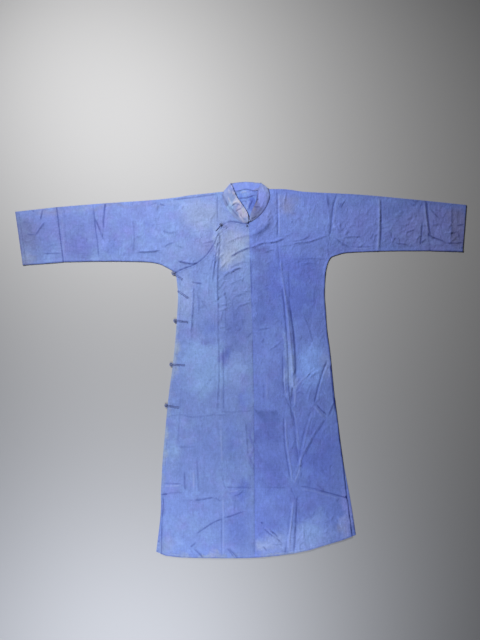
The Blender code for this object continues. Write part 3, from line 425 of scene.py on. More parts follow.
# Where the cloth is crushed into many small wrinkles, in mm and degrees: middle, half width, half height,
# count, direction counted from +X, spread of it, shortest, longest, height
crushedAreas = {
    "chest": (-28, 300, 66, 165, 36, 36, 20, 26, 66, 1.7),
    "chest near the flap's line": (-90, 440, 20, 130, 16, 64, 14, 24, 64, 1.6),
    "armpit right": (-200, 360, 50, 50, 8, 20, 35, 22, 50, 1.0),
    "side right": (-205, 200, 46, 140, 8, 84, 20, 30, 80, 0.9),
    "belly": (-60, 20, 100, 100, 14, 80, 20, 30, 60, 0.9),
    "skirt right": (-150, -320, 140, 130, 18, 84, 22, 30, 80, 0.9),
    "hem right": (-100, -640, 130, 90, 16, 45, 35, 22, 55, 1.1),
    "below the collar": (85, 570, 50, 76, 8, 40, 16, 30, 70, 1.1),
    "left breast": (230, 440, 120, 80, 16, 20, 40, 26, 65, 1.1),
    "left shoulder": (260, 620, 140, 76, 18, 76, 25, 26, 70, 1.1),
    "left waist": (120, 200, 66, 160, 10, 40, 30, 22, 60, 0.8),
    "left side": (275, 150, 55, 190, 10, 74, 22, 30, 80, 0.9),
    "left hip": (262, -90, 80, 100, 20, 58, 22, 30, 80, 1.5),
    "left skirt": (285, -330, 100, 140, 18, 66, 22, 30, 80, 1.3),
    "middle skirt": (110, -330, 60, 180, 8, 88, 16, 26, 80, 0.7),
    "left hem, near the vent": (375, -600, 45, 90, 26, 70, 50, 10, 24, 1.6),
    "hem beside the seam": (105, -690, 50, 50, 16, 45, 40, 12, 34, 1.5),
    "left hem": (260, -620, 170, 80, 34, 62, 35, 22, 60, 1.3),
    "armhole": (390, 530, 40, 60, 18, 62, 30, 22, 60, 1.7),
    "left sleeve": (520, 560, 110, 75, 44, 50, 30, 22, 60, 1),
    "left forearm": (655, 560, 85, 80, 54, 40, 30, 22, 60, 1.15),
    "left cuff": (815, 560, 62, 74, 34, 35, 40, 22, 56, 1.3),
    "right upper arm": (-340, 540, 100, 80, 10, 50, 40, 22, 55, 0.9),
    "right sleeve": (-560, 530, 130, 80, 26, 66, 35, 22, 55, 0.9),
    "right cuff": (-800, 525, 75, 80, 24, 50, 40, 20, 50, 1.1),
    "right shoulder": (-190, 590, 80, 80, 8, 45, 35, 22, 50, 0.8),
}
# The back of the neck, seen through the collar's opening; the dark lines of its folds are painted shade
neckFolds = [
    (1.2, 4, 3, -0.7, (-18, 712), (2, 722), (20, 725), (44, 721), (65, 712)),
    (2.2, 5, 3, -0.95, (-12, 684), (6, 688), (20, 688), (34, 692), (50, 698), (60, 701)),
    (-1.2, 3, 4, -0.8, (28, 622), (14, 650), (-6, 682)),
    (-1.2, 3, 4, -0.8, (28, 634), (38, 660), (50, 684)),
    (1.2, 4, 4, 0.4, (22, 640), (29, 662), (37, 680)),
    (1.2, 5, 4, 0.4, (-2, 708), (20, 714), (46, 710)),
    (1.2, 4, 3, -0.5, (0, 672), (14, 676), (26, 672)),
    # the back's edges beside the right vent and the left one, with painted shadow of the fronts that lie over
    # them
    (-0.5, 8, 6, -0.45, (-319, -510), (-321, -600), (-326, -660), (-333, -742)),
    (-0.4, 6, 6, -0.9, (443, -520), (451, -592), (460, -664)),
]
collarFolds = [
    # its lower line, pressed into the shoulder, with painted shade beside the band
    (-1.2, 4, 6, -0.7, (-73, 708), (-63, 680), (-45, 652), (-22, 626), (-4, 606)),
    # right side of the band
    (-2.2, 4, 5, -0.7, (-38, 650), (-24, 662), (-9, 663), (4, 651)),
    (1.5, 4, 4, 0.45, (-36, 662), (-22, 671), (-8, 671), (8, 658)),
    (-1.9, 4, 4, -0.6, (-20, 632), (-8, 640), (5, 645)),
    (-1.2, 3, 3, -0.45, (-4, 630), (2, 616), (14, 603), (26, 598)),
    (-1.8, 4, 4, -0.9, (-38, 746), (-35, 740)),
    (-1.6, 4, 4, -0.85, (-31, 728), (-27, 721)),
    (-1.6, 4, 4, -0.85, (-22, 706), (-18, 698)),
    (-1.4, 4, 4, -0.75, (-13, 690), (-6, 682)),
    (-1.4, 4, 4, -0.75, (2, 672), (10, 662)),
    (1.4, 5, 4, 0.4, (-34, 716), (-30, 708), (-24, 698)),
    (1.4, 9, 7, 0.35, (-52, 694), (-40, 668), (-26, 650)),
    (1.2, 8, 6, 0.3, (-50, 722), (-42, 704)),
    # left side
    (-1.3, 4, 4, -0.6, (52, 652), (64, 650), (76, 652)),
    (-1.1, 4, 4, -0.5, (63, 680), (74, 682)),
    (1.2, 6, 5, -0.35, (54, 618), (72, 634), (88, 656), (96, 684)),
    (-1.4, 4, 4, -0.55, (40, 604), (52, 606), (66, 618)),
    (-1, 6, 6, -0.4, (38, 626), (46, 646), (58, 668)),
    (-0.8, 6, 6, -0.3, (60, 672), (64, 696), (66, 720)),
    (-1.2, 7, 7, -1.3, (65, 720), (67, 708)),
    (-0.8, 8, 8, -0.5, (70, 712), (68, 690), (60, 664)),
]


# How exact the outlines are
outlineEase = {
    "end": 4 * mm,                # a table's point this near to a stretch's end is left out
    "same": 0.3 * mm,             # places nearer than this are one
    "seam": 2 * mm,               # the neck edge starts this far from the centre seam
    "samples": 60,                # places along a computed curve, before they are spaced evenly
    "rimStep": 12 * mm,
}


def goneAlong(path):
    # distance from the path's start to each of its points
    return np.concatenate([[0.0], np.cumsum(np.hypot(*np.diff(path, axis=0).T))])


def evenRun(path, step=cloth["edgeStep"]):
    # the same path, with points at even distances
    path = np.asarray(path, float)
    gone = goneAlong(path)
    want = np.linspace(0.0, gone[-1], max(1, round(gone[-1] / step)) + 1)
    return np.column_stack([np.interp(want, gone, path[:, k]) for k in (0, 1)])


def smoothRun(points, step=cloth["edgeStep"]):
    # a curve through the points
    path = np.asarray(points, float)
    ends = np.vstack([2 * path[0] - path[1], path, 2 * path[-1] - path[-2]])
    t = (np.arange(12) / 12)[:, None]
    stretches = []
    for a, b, c, d in zip(ends, ends[1:], ends[2:], ends[3:]):
        bend = 2 * a - 5 * b + 4 * c - d
        twist = 3 * b - a - 3 * c + d
        stretches.append(0.5 * (2 * b + (c - a) * t + bend * t ** 2 + twist * t ** 3))
    return evenRun(np.vstack([*stretches, path[-1:]]), step)


def levelOf(table, x):
    xs, ys = np.asarray(table, float).T
    return np.interp(x, xs, ys)


def seamX(y):
    return levelOf([(level, x) for x, level in centreSeam], y)


def partOf(table, xFrom, xTo):
    # the stretch of a table between two x values, in that direction
    low, high = sorted((xFrom, xTo))
    run = [(low, levelOf(table, low))]
    run += [p for p in table if low + outlineEase["end"] < p[0] < high - outlineEase["end"]]
    run.append((high, levelOf(table, high)))
    return run if xFrom < xTo else run[::-1]


def neckArc(fromAngle, toAngle, inset=0.0):
    # the front neck edge, counted from the wearer's left
    angles = np.linspace(fromAngle, toAngle, outlineEase["samples"])
    reach = 2 / neck["power"]
    across = np.cos(angles)
    x = neck["middle"] + (neck["halfWidth"] - inset) * np.sign(across) * np.abs(across) ** reach
    y = neck["level"] - (neck["depth"] - inset) * np.abs(np.sin(angles)) ** reach
    return evenRun(np.column_stack([x, y]))


def seamRun(yFrom, yTo, side):
    ys = np.linspace(yFrom, yTo, outlineEase["samples"])
    return evenRun(np.column_stack([seamX(ys) + side, ys]))


def sideRun(column, start, cornerX):
    # a side edge from the armpit to the hem's corner
    rows = [(row[column], row[0]) for row in sections]
    return smoothRun([start, *rows, (cornerX, levelOf(hem, cornerX))])


def joined(*runs):
    # one closed outline from runs that follow each other
    outline = []
    for run in runs:
        for p in np.asarray(run, float):
            if not outline or math.dist(p, outline[-1]) > outlineEase["same"]:
                outline.append(p)
    if math.dist(outline[0], outline[-1]) < outlineEase["same"]:
        outline.pop()
    return np.array(outline)


def sideways(path):
    # which way is left, at each point of a path
    across = np.gradient(path, axis=0)[:, ::-1] * (-1, 1)
    return across / np.hypot(*across.T)[:, None]


def alongPath(path, places):
    # for each place: distance to the path, side of it (left is positive) and how far along; then its length
    best = np.full(len(places), np.inf)
    side = np.ones(len(places))
    gone = np.zeros(len(places))
    length = 0.0
    for a, b in zip(path, path[1:]):
        way = b - a
        reach = math.hypot(*way)
        off = places - a
        t = np.clip(off @ way / reach ** 2, 0.0, 1.0)
        away = np.hypot(off[:, 0] - way[0] * t, off[:, 1] - way[1] * t)
        nearer = away < best
        best[nearer] = away[nearer]
        side[nearer] = np.sign(way[0] * off[:, 1] - way[1] * off[:, 0])[nearer]
        gone[nearer] = (length + reach * t)[nearer]
        length += reach
    return best, side, gone, length


def awayFrom(path, places):
    # distance from each place to a path
    points = evenRun(path, 1.2 * mm)
    tree = KDTree(len(points))
    for i, (x, y) in enumerate(points):
        tree.insert((x, y, 0.0), i)
    tree.balance()
    return np.array([tree.find((x, y, 0.0))[2] for x, y in places])


def insideOutline(outline, places):
    x, y = places.T
    inside = np.zeros(len(places), bool)
    for (ax, ay), (bx, by) in zip(outline, np.roll(outline, -1, axis=0)):
        if ay != by:
            inside ^= ((ay > y) != (by > y)) & (x < ax + (bx - ax) * (y - ay) / (by - ay))
    return inside


def soften(value):
    value = np.clip(value, 0.0, 1.0)
    return value * value * (3 - 2 * value)


def slopeOff(distance, reach):
    # 1 on a line, in a soft slope to 0 at the reach
    return 1 - soften(distance / reach)


def fadeOff(distance, reach):
    # 1 on a line, evenly down to 0 at the reach
    return np.clip(1 - distance / reach, 0, 1)


def noiseOver(places, across, along, level):
    # smooth noise at each place, with so many waves to a metre
    return np.array([noise.noise((x * across, y * along, level)) for x, y in places])


# How a row of the fold tables becomes relief and tone
foldShape = {
    "step": 6.0 * mm,             # between the points of its crest
    "height": 1.35,               # shares of what the row says
    "width": 0.95,
    "tone": 1.05,
    "pointed": 0.5,               # share of the crest that is pointed, where the rest is round
    "endShare": 0.35,             # its ends fade over this share of its length, and at most over endMost
    "endMost": 28 * mm,
    "endStart": 0.12,             # what is left of it at its very end
    "lineMost": 1.2,              # the line holds on further than the crest
    "line": 3.8 * mm,             # half width of the line, at least
    "lineShare": 0.36,            # and as a share of the wider flank
    "lineCore": 1.15,             # over 1, so that the middle of the line is even
    "darkest": 0.8,
    "mean": 0.92,                 # along the crest its strength swings about this
    "swing": 0.6,
    "waves": 45,                  # to a metre
}


def foldPath(row, step):
    # a fold's crest in metres, from low or left to high or right, so that its left side meets the light
    path = smoothRun(np.array(row[4:], float) * mm, step)
    return path if (path[-1] - path[0]).sum() > 0 else path[::-1]


def laidFolds(table):
    # each fold's crest with its sizes, and how uneven it is along the way
    made = []
    wide = foldShape["width"] * mm
    for number, row in enumerate(table):
        height, lit, shaded, tone = row[:4]
        path = foldPath(row, foldShape["step"])
        gone = goneAlong(path)
        uneven = [noise.noise((g * foldShape["waves"], number * 3.7, path[0][0] * 9)) for g in gone]
        made.append((path, height * foldShape["height"] * mm, lit * wide, shaded * wide,
                     tone * foldShape["tone"], gone,
                     foldShape["mean"] + foldShape["swing"] * np.array(uneven)))
    return made


def foldRelief(folds, places):
    # how far the folds lift the cloth, and how far they darken it (soil and painted shade) or pale it
    # (rubbing and painted highlight)
    lift = np.zeros(len(places))
    tone = np.zeros(len(places))
    order = np.argsort(places[:, 1])
    ys = places[order, 1]
    for path, height, lit, shaded, shade, stations, uneven in folds:
        margin = max(lit, shaded)
        (low, bottom), (high, top) = path.min(0) - margin, path.max(0) + margin
        near = order[np.searchsorted(ys, bottom):np.searchsorted(ys, top)]
        near = near[(places[near, 0] > low) & (places[near, 0] < high)]
        if not len(near):
            continue
        away, side, gone, length = alongPath(path, places[near])
        fading = min(foldShape["endShare"] * length, foldShape["endMost"])
        ends = soften(np.minimum(gone, length - gone) / fading + foldShape["endStart"])
        strength = np.interp(gone, stations, uneven)
        flank = away / np.where(side > 0, lit, shaded)
        crest = np.where(flank < 1, 0.5 + 0.5 * np.cos(math.pi * np.minimum(flank, 1.0)), 0.0)
        crest = (1 - foldShape["pointed"]) * crest + foldShape["pointed"] * crest ** 3
        lift[near] += height * crest * ends * strength
        wide = max(foldShape["line"], foldShape["lineShare"] * margin)
        line = np.clip(foldShape["lineCore"] - away / wide, 0.0, 1.0)
        tone[near] += shade * line * np.minimum(1.0, ends * foldShape["lineMost"]) * strength
    return lift, foldShape["darkest"] * np.tanh(tone / foldShape["darkest"])


# The small wrinkles of a crushed area, in mm
wrinkles = {
    "seed": 101,
    "bow": 3.0,                   # how far the middle strays to the side
    "height": (0.5, 1.3),         # shares of the area's height
    "valleys": 0.3,               # how many are valleys, and how deep these are
    "valleyDepth": 0.8,
    "width": (4.5, 8.5),
    "farWidth": (0.6, 1.0),       # the flank away from the light, as a share of the other
    "tone": 0.07,                 # painted shade in each wrinkle, at most, to a millimetre of height
}


def crushedFolds(areas):
    # the wrinkles of each area, laid out from its own seed
    made = []
    for number, area in enumerate(areas.values()):
        x, y, wide, high, count, turn, spread, shortest, longest, height = area
        dice = np.random.default_rng(wrinkles["seed"] + number)
        for _ in range(count):
            reach = math.sqrt(dice.random())
            around = dice.random() * 2 * math.pi
            middle = np.array([x + wide * reach * math.cos(around), y + high * reach * math.sin(around)])
            angle = math.radians(dice.normal(turn, spread))
            way = np.array([math.cos(angle), math.sin(angle)])
            end = way * dice.uniform(shortest, longest) / 2
            bow = np.array([-way[1], way[0]]) * dice.normal(0, wrinkles["bow"])
            lift = height * dice.uniform(*wrinkles["height"])
            if dice.random() < wrinkles["valleys"]:
                lift *= -wrinkles["valleyDepth"]
            width = dice.uniform(*wrinkles["width"])
            farWidth = width * dice.uniform(*wrinkles["farWidth"])
            tone = -wrinkles["tone"] * dice.random() * abs(lift)
            made.append((lift, width, farWidth, tone,
                         tuple(middle - end), tuple(middle + bow), tuple(middle + end)))
    return made


# Fine crumpling: waves to a metre across and along the cloth, sharpness of the crests, share
crumpling = {
    "seed": 3.0,
    "bend": 0.05,                 # metres that the waves wander, each in its own rhythm
    "bendX": (9, 7),
    "bendY": (8, 9),
    "soft": (16, 11, 0.55),
    "ridges": (30, 19, 2.2, 0.5),
    "fine": (58, 40, 2.4, 0.22),
}


def crumpleOf(places):
    # uneven, mostly lengthwise, with sharp small crests
    seed = crumpling["seed"]
    bendX = crumpling["bend"] * noiseOver(places, *crumpling["bendX"], seed)
    bendY = crumpling["bend"] * noiseOver(places, *crumpling["bendY"], seed + 5)
    x, y = places.T
    across, along, share = crumpling["soft"]
    values = share * noiseOver(np.column_stack([x + bendX, y + bendY]), across, along, seed)
    for key, bentX, bentY, level in (("ridges", x + bendY, y + bendX, 9), ("fine", x + bendX, y - bendY, 13)):
        across, along, sharpness, share = crumpling[key]
        crest = 1 - abs(noiseOver(np.column_stack([bentX, bentY]), across, along, seed + level)) * sharpness
        values += share * np.maximum(0.0, crest) ** 2
    return values


rightSide = sideRun(2, flapEdge[-1], hemCorners["flapRight"])
leftSide = sideRun(3, leftUnder[0], hemCorners["frontLeft"])
backRightSide = sideRun(1, rightUnder[-1], hemCorners["backRight"])
backLeftSide = sideRun(4, leftUnder[0], hemCorners["backLeft"])
rimStep = outlineEase["rimStep"]
rim = joined(
    smoothRun(rightTop, rimStep), evenRun(backNeck, rimStep), smoothRun(leftTop, rimStep),
    smoothRun(leftUnder[::-1], rimStep), leftSide[::3],
    partOf(hem, hemCorners["frontLeft"], hemCorners["flapRight"]), rightSide[::-3],
    smoothRun(rightUnder[::-1], rimStep), rightTop[:1])
rim = np.vstack([rim, rim[:1]])
allFolds = laidFolds(
    flapFolds + leftFrontFolds + leftSleeveFolds + rightSleeveFolds + crushedFolds(crushedAreas))
neckCreases = laidFolds(neckFolds)
collarCreases = laidFolds(collarFolds)
cuffs = {
    "right": np.array([rightTop[0], rightUnder[0]]),
    "left": np.array([leftTop[-1], leftUnder[-1]]),
}
backSeam = evenRun(centreSeam[:7], 30 * mm)
sewnSeams = [                      # path, depth of its valley, tone
    (backSeam, 0.12 * mm, -0.05),
    (np.array([(-0.7356, 0.6493), (-0.7088, 0.4329)]), 1.3 * mm, -0.75),
    (np.array([(0.7384, 0.6756), (0.7570, 0.4775)]), 1.3 * mm, -0.45),
]
# edges where turned seam allowances make the cloth thick: path, rise, reach, tone; the tone is painted shadow
# along the edge
rolledEdges = [
    (evenRun(rightUnder, 20 * mm), 1.8 * mm, 12 * mm, -0.4),
    (evenRun(leftUnder, 20 * mm), 1.8 * mm, 12 * mm, -0.4),
    (leftSide[::4], 1.0 * mm, 11 * mm, -0.8),
    (evenRun(hem, 20 * mm), 0.6 * mm, 8 * mm, -0.45),
    (evenRun(rightTop, 30 * mm), 0.3 * mm, 9 * mm, -0.12),
    (evenRun(leftTop, 30 * mm), 0.3 * mm, 9 * mm, -0.12),
]
hemLines = {                       # path, and how much is turned under
    "hem": (evenRun(hem, rimStep), 14 * mm),
    "left vent": (leftSide[leftSide[:, 1] < leftVentTop][::3], 12 * mm),
    "right vent": (rightSide[::3], 12 * mm),
    "flap edge": (smoothRun(flapEdge, rimStep), 9 * mm),
    "right cuff": (cuffs["right"], 15 * mm),
    "left cuff": (cuffs["left"], 15 * mm),
}
# The front's relief beside its folds, over the level of its solid
relief = {
    "puff": 1.5 * mm,             # air under the front, away from the edges
    "puffReach": 70 * mm,
    "crumple": 0.75 * mm,         # fine wrinkling
    "crumpleMean": 0.1,
    "crumpleEdge": 0.35,          # share of the crumpling that is left at an edge
    "crumpleReach": 30 * mm,
    "cuff": 0.9 * mm,             # the cuffs, and then the hem, stand off the floor
    "cuffReach": 20 * mm,
    "cuffShade": (0.45, 3.5 * mm),      # tone and reach of the painted shade in the cuff's open edge
    "hem": 1.0,                   # in mm, and it swings by hemSwing with so many waves to a metre
    "hemSwing": 1.6,
    "hemWaves": 9,
    "hemReach": 45 * mm,
    "hemLift": 0.5 * mm,          # step where the hem is turned under
    "hemStep": 2.5 * mm,          # width of that step
    "edgeShadeSwing": 0.9,             # how uneven the painted shadow along the rolled edges is
    "edgeShadeWaves": 34,
    "edgeShadeReach": 6.0 * mm,
    "seamReach": 5.0 * mm,        # half width of a seam's valley, and of its dark line
    "seamLine": 3.2 * mm,
}


def frontRise(places):
    # height of the front over the level of its solid, and the tone of its lines
    near = awayFrom(rim, places)
    lift, tone = foldRelief(allFolds, places)
    edge = relief["crumpleEdge"]
    fade = edge + (1 - edge) * soften(near / relief["crumpleReach"])
    rise = relief["puff"] * soften(near / relief["puffReach"]) + lift
    rise += relief["crumple"] * (crumpleOf(places) + relief["crumpleMean"]) * fade
    for cuff in cuffs.values():
        rise += relief["cuff"] * slopeOff(awayFrom(cuff, places), relief["cuffReach"])
    wave = np.array([noise.noise((x * relief["hemWaves"], 4.0, 0.0)) for x in places[:, 0]])
    hemHigh = (relief["hem"] + relief["hemSwing"] * wave) * mm
    rise += hemHigh * slopeOff(awayFrom(hemLines["hem"][0], places), relief["hemReach"])
    uneven = 1 + relief["edgeShadeSwing"] * noiseOver(places, relief["edgeShadeWaves"], relief["edgeShadeWaves"], 9.0)
    # the rolled edges' tone is painted shadow along them
    for path, high, reach, shade in rolledEdges:
        close = awayFrom(path, places)
        rise += high * slopeOff(close, reach)
        tone += shade * uneven * fadeOff(close, relief["edgeShadeReach"])
    for path, dip, shade in sewnSeams:
        close = awayFrom(path, places)
        rise -= dip * slopeOff(close, relief["seamReach"])
        tone += shade * fadeOff(close, relief["seamLine"])
    return np.maximum(rise, 0.0), tone


def hemStep(places, names):
    # the cloth lies higher over a hem that is turned under
    step = np.zeros(len(places))
    for name in names:
        path, width = hemLines[name]
        step = np.maximum(
            step, relief["hemLift"] * slopeOff(awayFrom(path, places) - width, relief["hemStep"]))
    return step


def lapLift(places):
    # 1 where the front lies over the inner front, 0 where it lies on the back
    x, y = places.T
    beside = 1 - np.clip((x - seamX(y)) / underlap["seamLift"], 0, 1)
    slope = underlap["settle"] - underlap["settled"]
    return beside * np.clip((y - underlap["hem"] + underlap["settle"]) / slope, 0, 1)


def frontTops(places):
    # height of the front's upper face
    return cloth["level"] + cloth["wall"] + frontRise(places)[0] + cloth["level"] * lapLift(places)


def inNeck(places, beyond=0.0):
    halfWidth, halfHeight = neck["openHalf"]
    off = (places - (neck["middle"], neck["openLevel"])) / (halfWidth + beyond, halfHeight + beyond)
    return (off ** 2).sum(1) < 1


# The mesh of a layer of cloth, mostly as shares of its spacing
meshing = {
    "row": 0.87,                  # from one row of points to the next
    "cell": 0.62,                 # a square of this size holds one point
    "edge": 0.42,                 # kept free along the outline
    "foot": 0.75,                 # points beside a crest, as a share of its flank
    "crestStep": 4.0 * mm,
    "neckStep": 2.6 * mm,         # where the neck's opening shows the cloth
    "neckWindow": ((-0.05, 0.10), (0.59, 0.74)),      # the part of the floor that this finer mesh covers
}


def fillOutline(outline, step, folds=(), neckStep=None):
    # triangles over an outline: an even mesh, with points along crests and their feet, and a finer
    # one where the neck's opening shows the cloth
    places = []
    for row in folds:
        path = foldPath(row, meshing["crestStep"])
        places.append(path)
        for offset in (row[1] * meshing["foot"] * mm, -row[2] * meshing["foot"] * mm):
            places.append(path + sideways(path) * offset)
    low, high = outline.min(0), outline.max(0)
    for k, y in enumerate(np.arange(low[1] + step / 2, high[1], step * meshing["row"])):
        xs = np.arange(low[0] + step * (0.25 + 0.5 * (k % 2)), high[0], step)
        places.append(np.column_stack([xs, np.full(len(xs), y)]))
    places = np.vstack(places)
    taken = set()
    keep = []
    cell = step * meshing["cell"]
    for i, (x, y) in enumerate(places):
        spot = (int(x // cell), int(y // cell))
        if spot not in taken:
            taken.add(spot)
            keep.append(i)
    places = places[keep]
    if neckStep:
        xs, ys = np.meshgrid(*(np.arange(*span, neckStep) for span in meshing["neckWindow"]))
        xs[::2] += neckStep / 2
        close = np.column_stack([xs.ravel(), ys.ravel()])
        places = np.vstack([places[~inNeck(places, neckStep)], close[inNeck(close)]])
    places = places[insideOutline(outline, places)]
    places = places[awayFrom(np.vstack([outline, outline[:1]]), places) > step * meshing["edge"]]
    points = np.vstack([outline, places])
    count = len(outline)
    edges = [(i, (i + 1) % count) for i in range(count)]
    found = delaunay_2d_cdt([Vector(p) for p in points], edges, [list(range(count))], 1, 1e-7)
    flat = np.array([tuple(v) for v in found[0]])
    faces = np.array(found[2])
    a, b, c = (flat[faces[:, k]] for k in range(3))
    turned = (b[:, 0] - a[:, 0]) * (c[:, 1] - a[:, 1]) < (b[:, 1] - a[:, 1]) * (c[:, 0] - a[:, 0])
    faces[turned] = faces[turned][:, ::-1]
    return flat, faces


def addPiece(name, points, faces, tone=None):
    mesh = bpy.data.meshes.new(name)
    mesh.from_pydata([tuple(p) for p in points], [], [tuple(int(i) for i in f) for f in faces])
    mesh.validate()
    if tone is not None:
        layer = mesh.attributes.new("tone", "FLOAT", "POINT")
        layer.data.foreach_set("value", np.asarray(tone, np.float32))
    mesh.shade_smooth()
    sides = np.zeros(len(mesh.edges), int)
    turns = np.empty(len(mesh.loops), np.int32)
    mesh.loops.foreach_get("edge_index", turns)
    np.add.at(sides, turns, 1)
    if (sides < 2).any():
        # open edges stay crisp when the sheet gets its thickness
        mesh.attributes.new("sharp_edge", "BOOLEAN", "EDGE").data.foreach_set("value", sides < 2)
    piece = bpy.data.objects.new(name, mesh)
    bpy.context.scene.collection.objects.link(piece)
    return piece


def thicken(piece, thickness):
    shell = piece.modifiers.new("wall", "SOLIDIFY")
    shell.thickness = thickness
    shell.offset = 0.0
    shell.use_even_offset = False


def spotOf(p):
    return round(p[0] / (0.01 * mm)), round(p[1] / (0.01 * mm))


def clothShell(name, back, front, closedRuns):
    # one sheet of cloth, whose two layers are joined round the runs where it is folded or sewn;
    # a layer is its places, triangles, heights and tones
    start = len(back[0])
    points = np.vstack([np.column_stack([layer[0], layer[2]]) for layer in (back, front)])
    faces = [list(f) for f in np.vstack([back[1][:, ::-1], front[1] + start])]
    tones = np.concatenate([back[3], front[3]])
    backSpots = {spotOf(p): i for i, p in enumerate(back[0])}
    frontSpots = {spotOf(p): i + start for i, p in enumerate(front[0])}
    firstAdded, sides = len(points), cloth["foldSides"]
    addedPoints, addedTones = [], []
    for run in closedRuns:
        run = [p for p in run if spotOf(p) in backSpots and spotOf(p) in frontSpots]
        rings = []
        for i, p in enumerate(run):
            before, after = run[max(0, i - 1)], run[min(len(run) - 1, i + 1)]
            along = (after - before) / math.dist(after, before)
            out = np.array([along[1], -along[0]])
            low, high = backSpots[spotOf(p)], frontSpots[spotOf(p)]
            half = (points[high][2] - points[low][2]) / 2
            ring = [low]
            for j in range(1, sides):
                angle = math.pi * j / sides
                ring.append(firstAdded + len(addedPoints))
                addedPoints.append((*(p + out * cloth["foldOut"] * math.sin(angle)),
                                    points[low][2] + half * (1 - math.cos(angle))))
                addedTones.append(tones[high])
            rings.append([*ring, high])
        for ring, following in zip(rings, rings[1:]):
            for j in range(sides):
                faces.append([ring[j], following[j], following[j + 1], ring[j + 1]])
    piece = addPiece(name, np.vstack([points, addedPoints]), faces, np.concatenate([tones, addedTones]))
    thicken(piece, cloth["wall"])
    return piece


def backLayer(outline):
    flat, triangles = fillOutline(outline, cloth["coarseStep"], neckStep=meshing["neckStep"])
    rise = cloth["backShare"] * np.maximum(foldRelief(allFolds, flat)[0], 0.0)
    rise *= soften(awayFrom(backSeam, flat) / cloth["backSeamReach"])
    neckLift, tone = foldRelief(neckCreases, flat)
    neckRise = np.clip(neckLift, 0, cloth["neckMost"]) * cloth["neckShare"]
    return flat, triangles, cloth["wall"] / 2 + rise + neckRise, tone


def frontLayer(outline, folds, hems, lift=None):
    flat, triangles = fillOutline(outline, cloth["fineStep"], folds)
    rise, tone = frontRise(flat)
    height = cloth["level"] + cloth["wall"] / 2 + rise + hemStep(flat, hems)
    if lift:
        height = height + cloth["level"] * lift(flat)
    return flat, triangles, height, tone


# Camera: straight above, with the photograph's framing
shot = {"middle": (-0.0028, 0.200), "across": 2.56, "lens": 50.0, "sensor": 36.0}
cameraData = bpy.data.cameras.new("camera")
cameraData.lens = shot["lens"]
cameraData.sensor_width = shot["sensor"]
camera = bpy.data.objects.new("camera", cameraData)
camera.location = (*shot["middle"], shot["across"] * shot["lens"] / shot["sensor"])
bpy.context.scene.collection.objects.link(camera)
bpy.context.scene.camera = camera
bpy.context.scene.view_settings.view_transform = "Standard"
print("camera ready")


def hexColour(text):
    # an sRGB hex value as the linear colour that the shader wants
    levels = [int(text[i:i + 2], 16) / 255 for i in (1, 3, 5)]
    return (*[v / 12.92 if v <= 0.04045 else ((v + 0.055) / 1.055) ** 2.4 for v in levels], 1.0)


def newMaterial(name, surface):
    made = bpy.data.materials.new(name)
    made.use_nodes = True
    shader = made.node_tree.nodes["Principled BSDF"]
    for socket, value in surface.items():
        shader.inputs[socket].default_value = value
    return made, made.node_tree, shader


def addNode(tree, kind, inputs=None, **settings):
    node = tree.nodes.new("ShaderNode" + kind)
    for name, value in settings.items():
        setattr(node, name, value)
    for name, value in (inputs or {}).items():
        if isinstance(value, bpy.types.NodeSocket):
            tree.links.new(value, node.inputs[name])
        else:
            node.inputs[name].default_value = value
    return node


# Colour sockets of a Mix node that works on colours, and the pitch of a wave texture at scale 1, in metres
mixA, mixB, mixResult = 6, 7, 2
wavePitch = 0.314

# Plain-woven cotton: typical values for the bare cloth, and the sizes of its patterns
cotton = {
    "surface": {"Roughness": 0.92, "IOR": 1.47, "Specular IOR Level": 0.25, "Sheen Weight": 0.12,
                "Sheen Roughness": 0.6},
    "driftSize": 60 * mm,         # of the waves in the edge of a fade
    "drift": 0.10,                # and how far these move it, in metres
    "cloudSize": 85 * mm,         # of the patches where the dye has turned
    "cloudShare": 0.34,
    "yarn": 1.0 * mm,             # drawn twice as coarse as the real 0.5 mm, which doesn't show in the render
    "weaveDepth": 0.25 * mm,
    "rumpleSize": 12 * mm,
    "wrinkles": [                 # size across and along in mm, turn, share
        (28, 70, 20, 1.0),
        (24, 60, -35, 1.0),
        (11, 27, 58, 0.7),
        (9, 21, -48, 0.65),
    ],
}


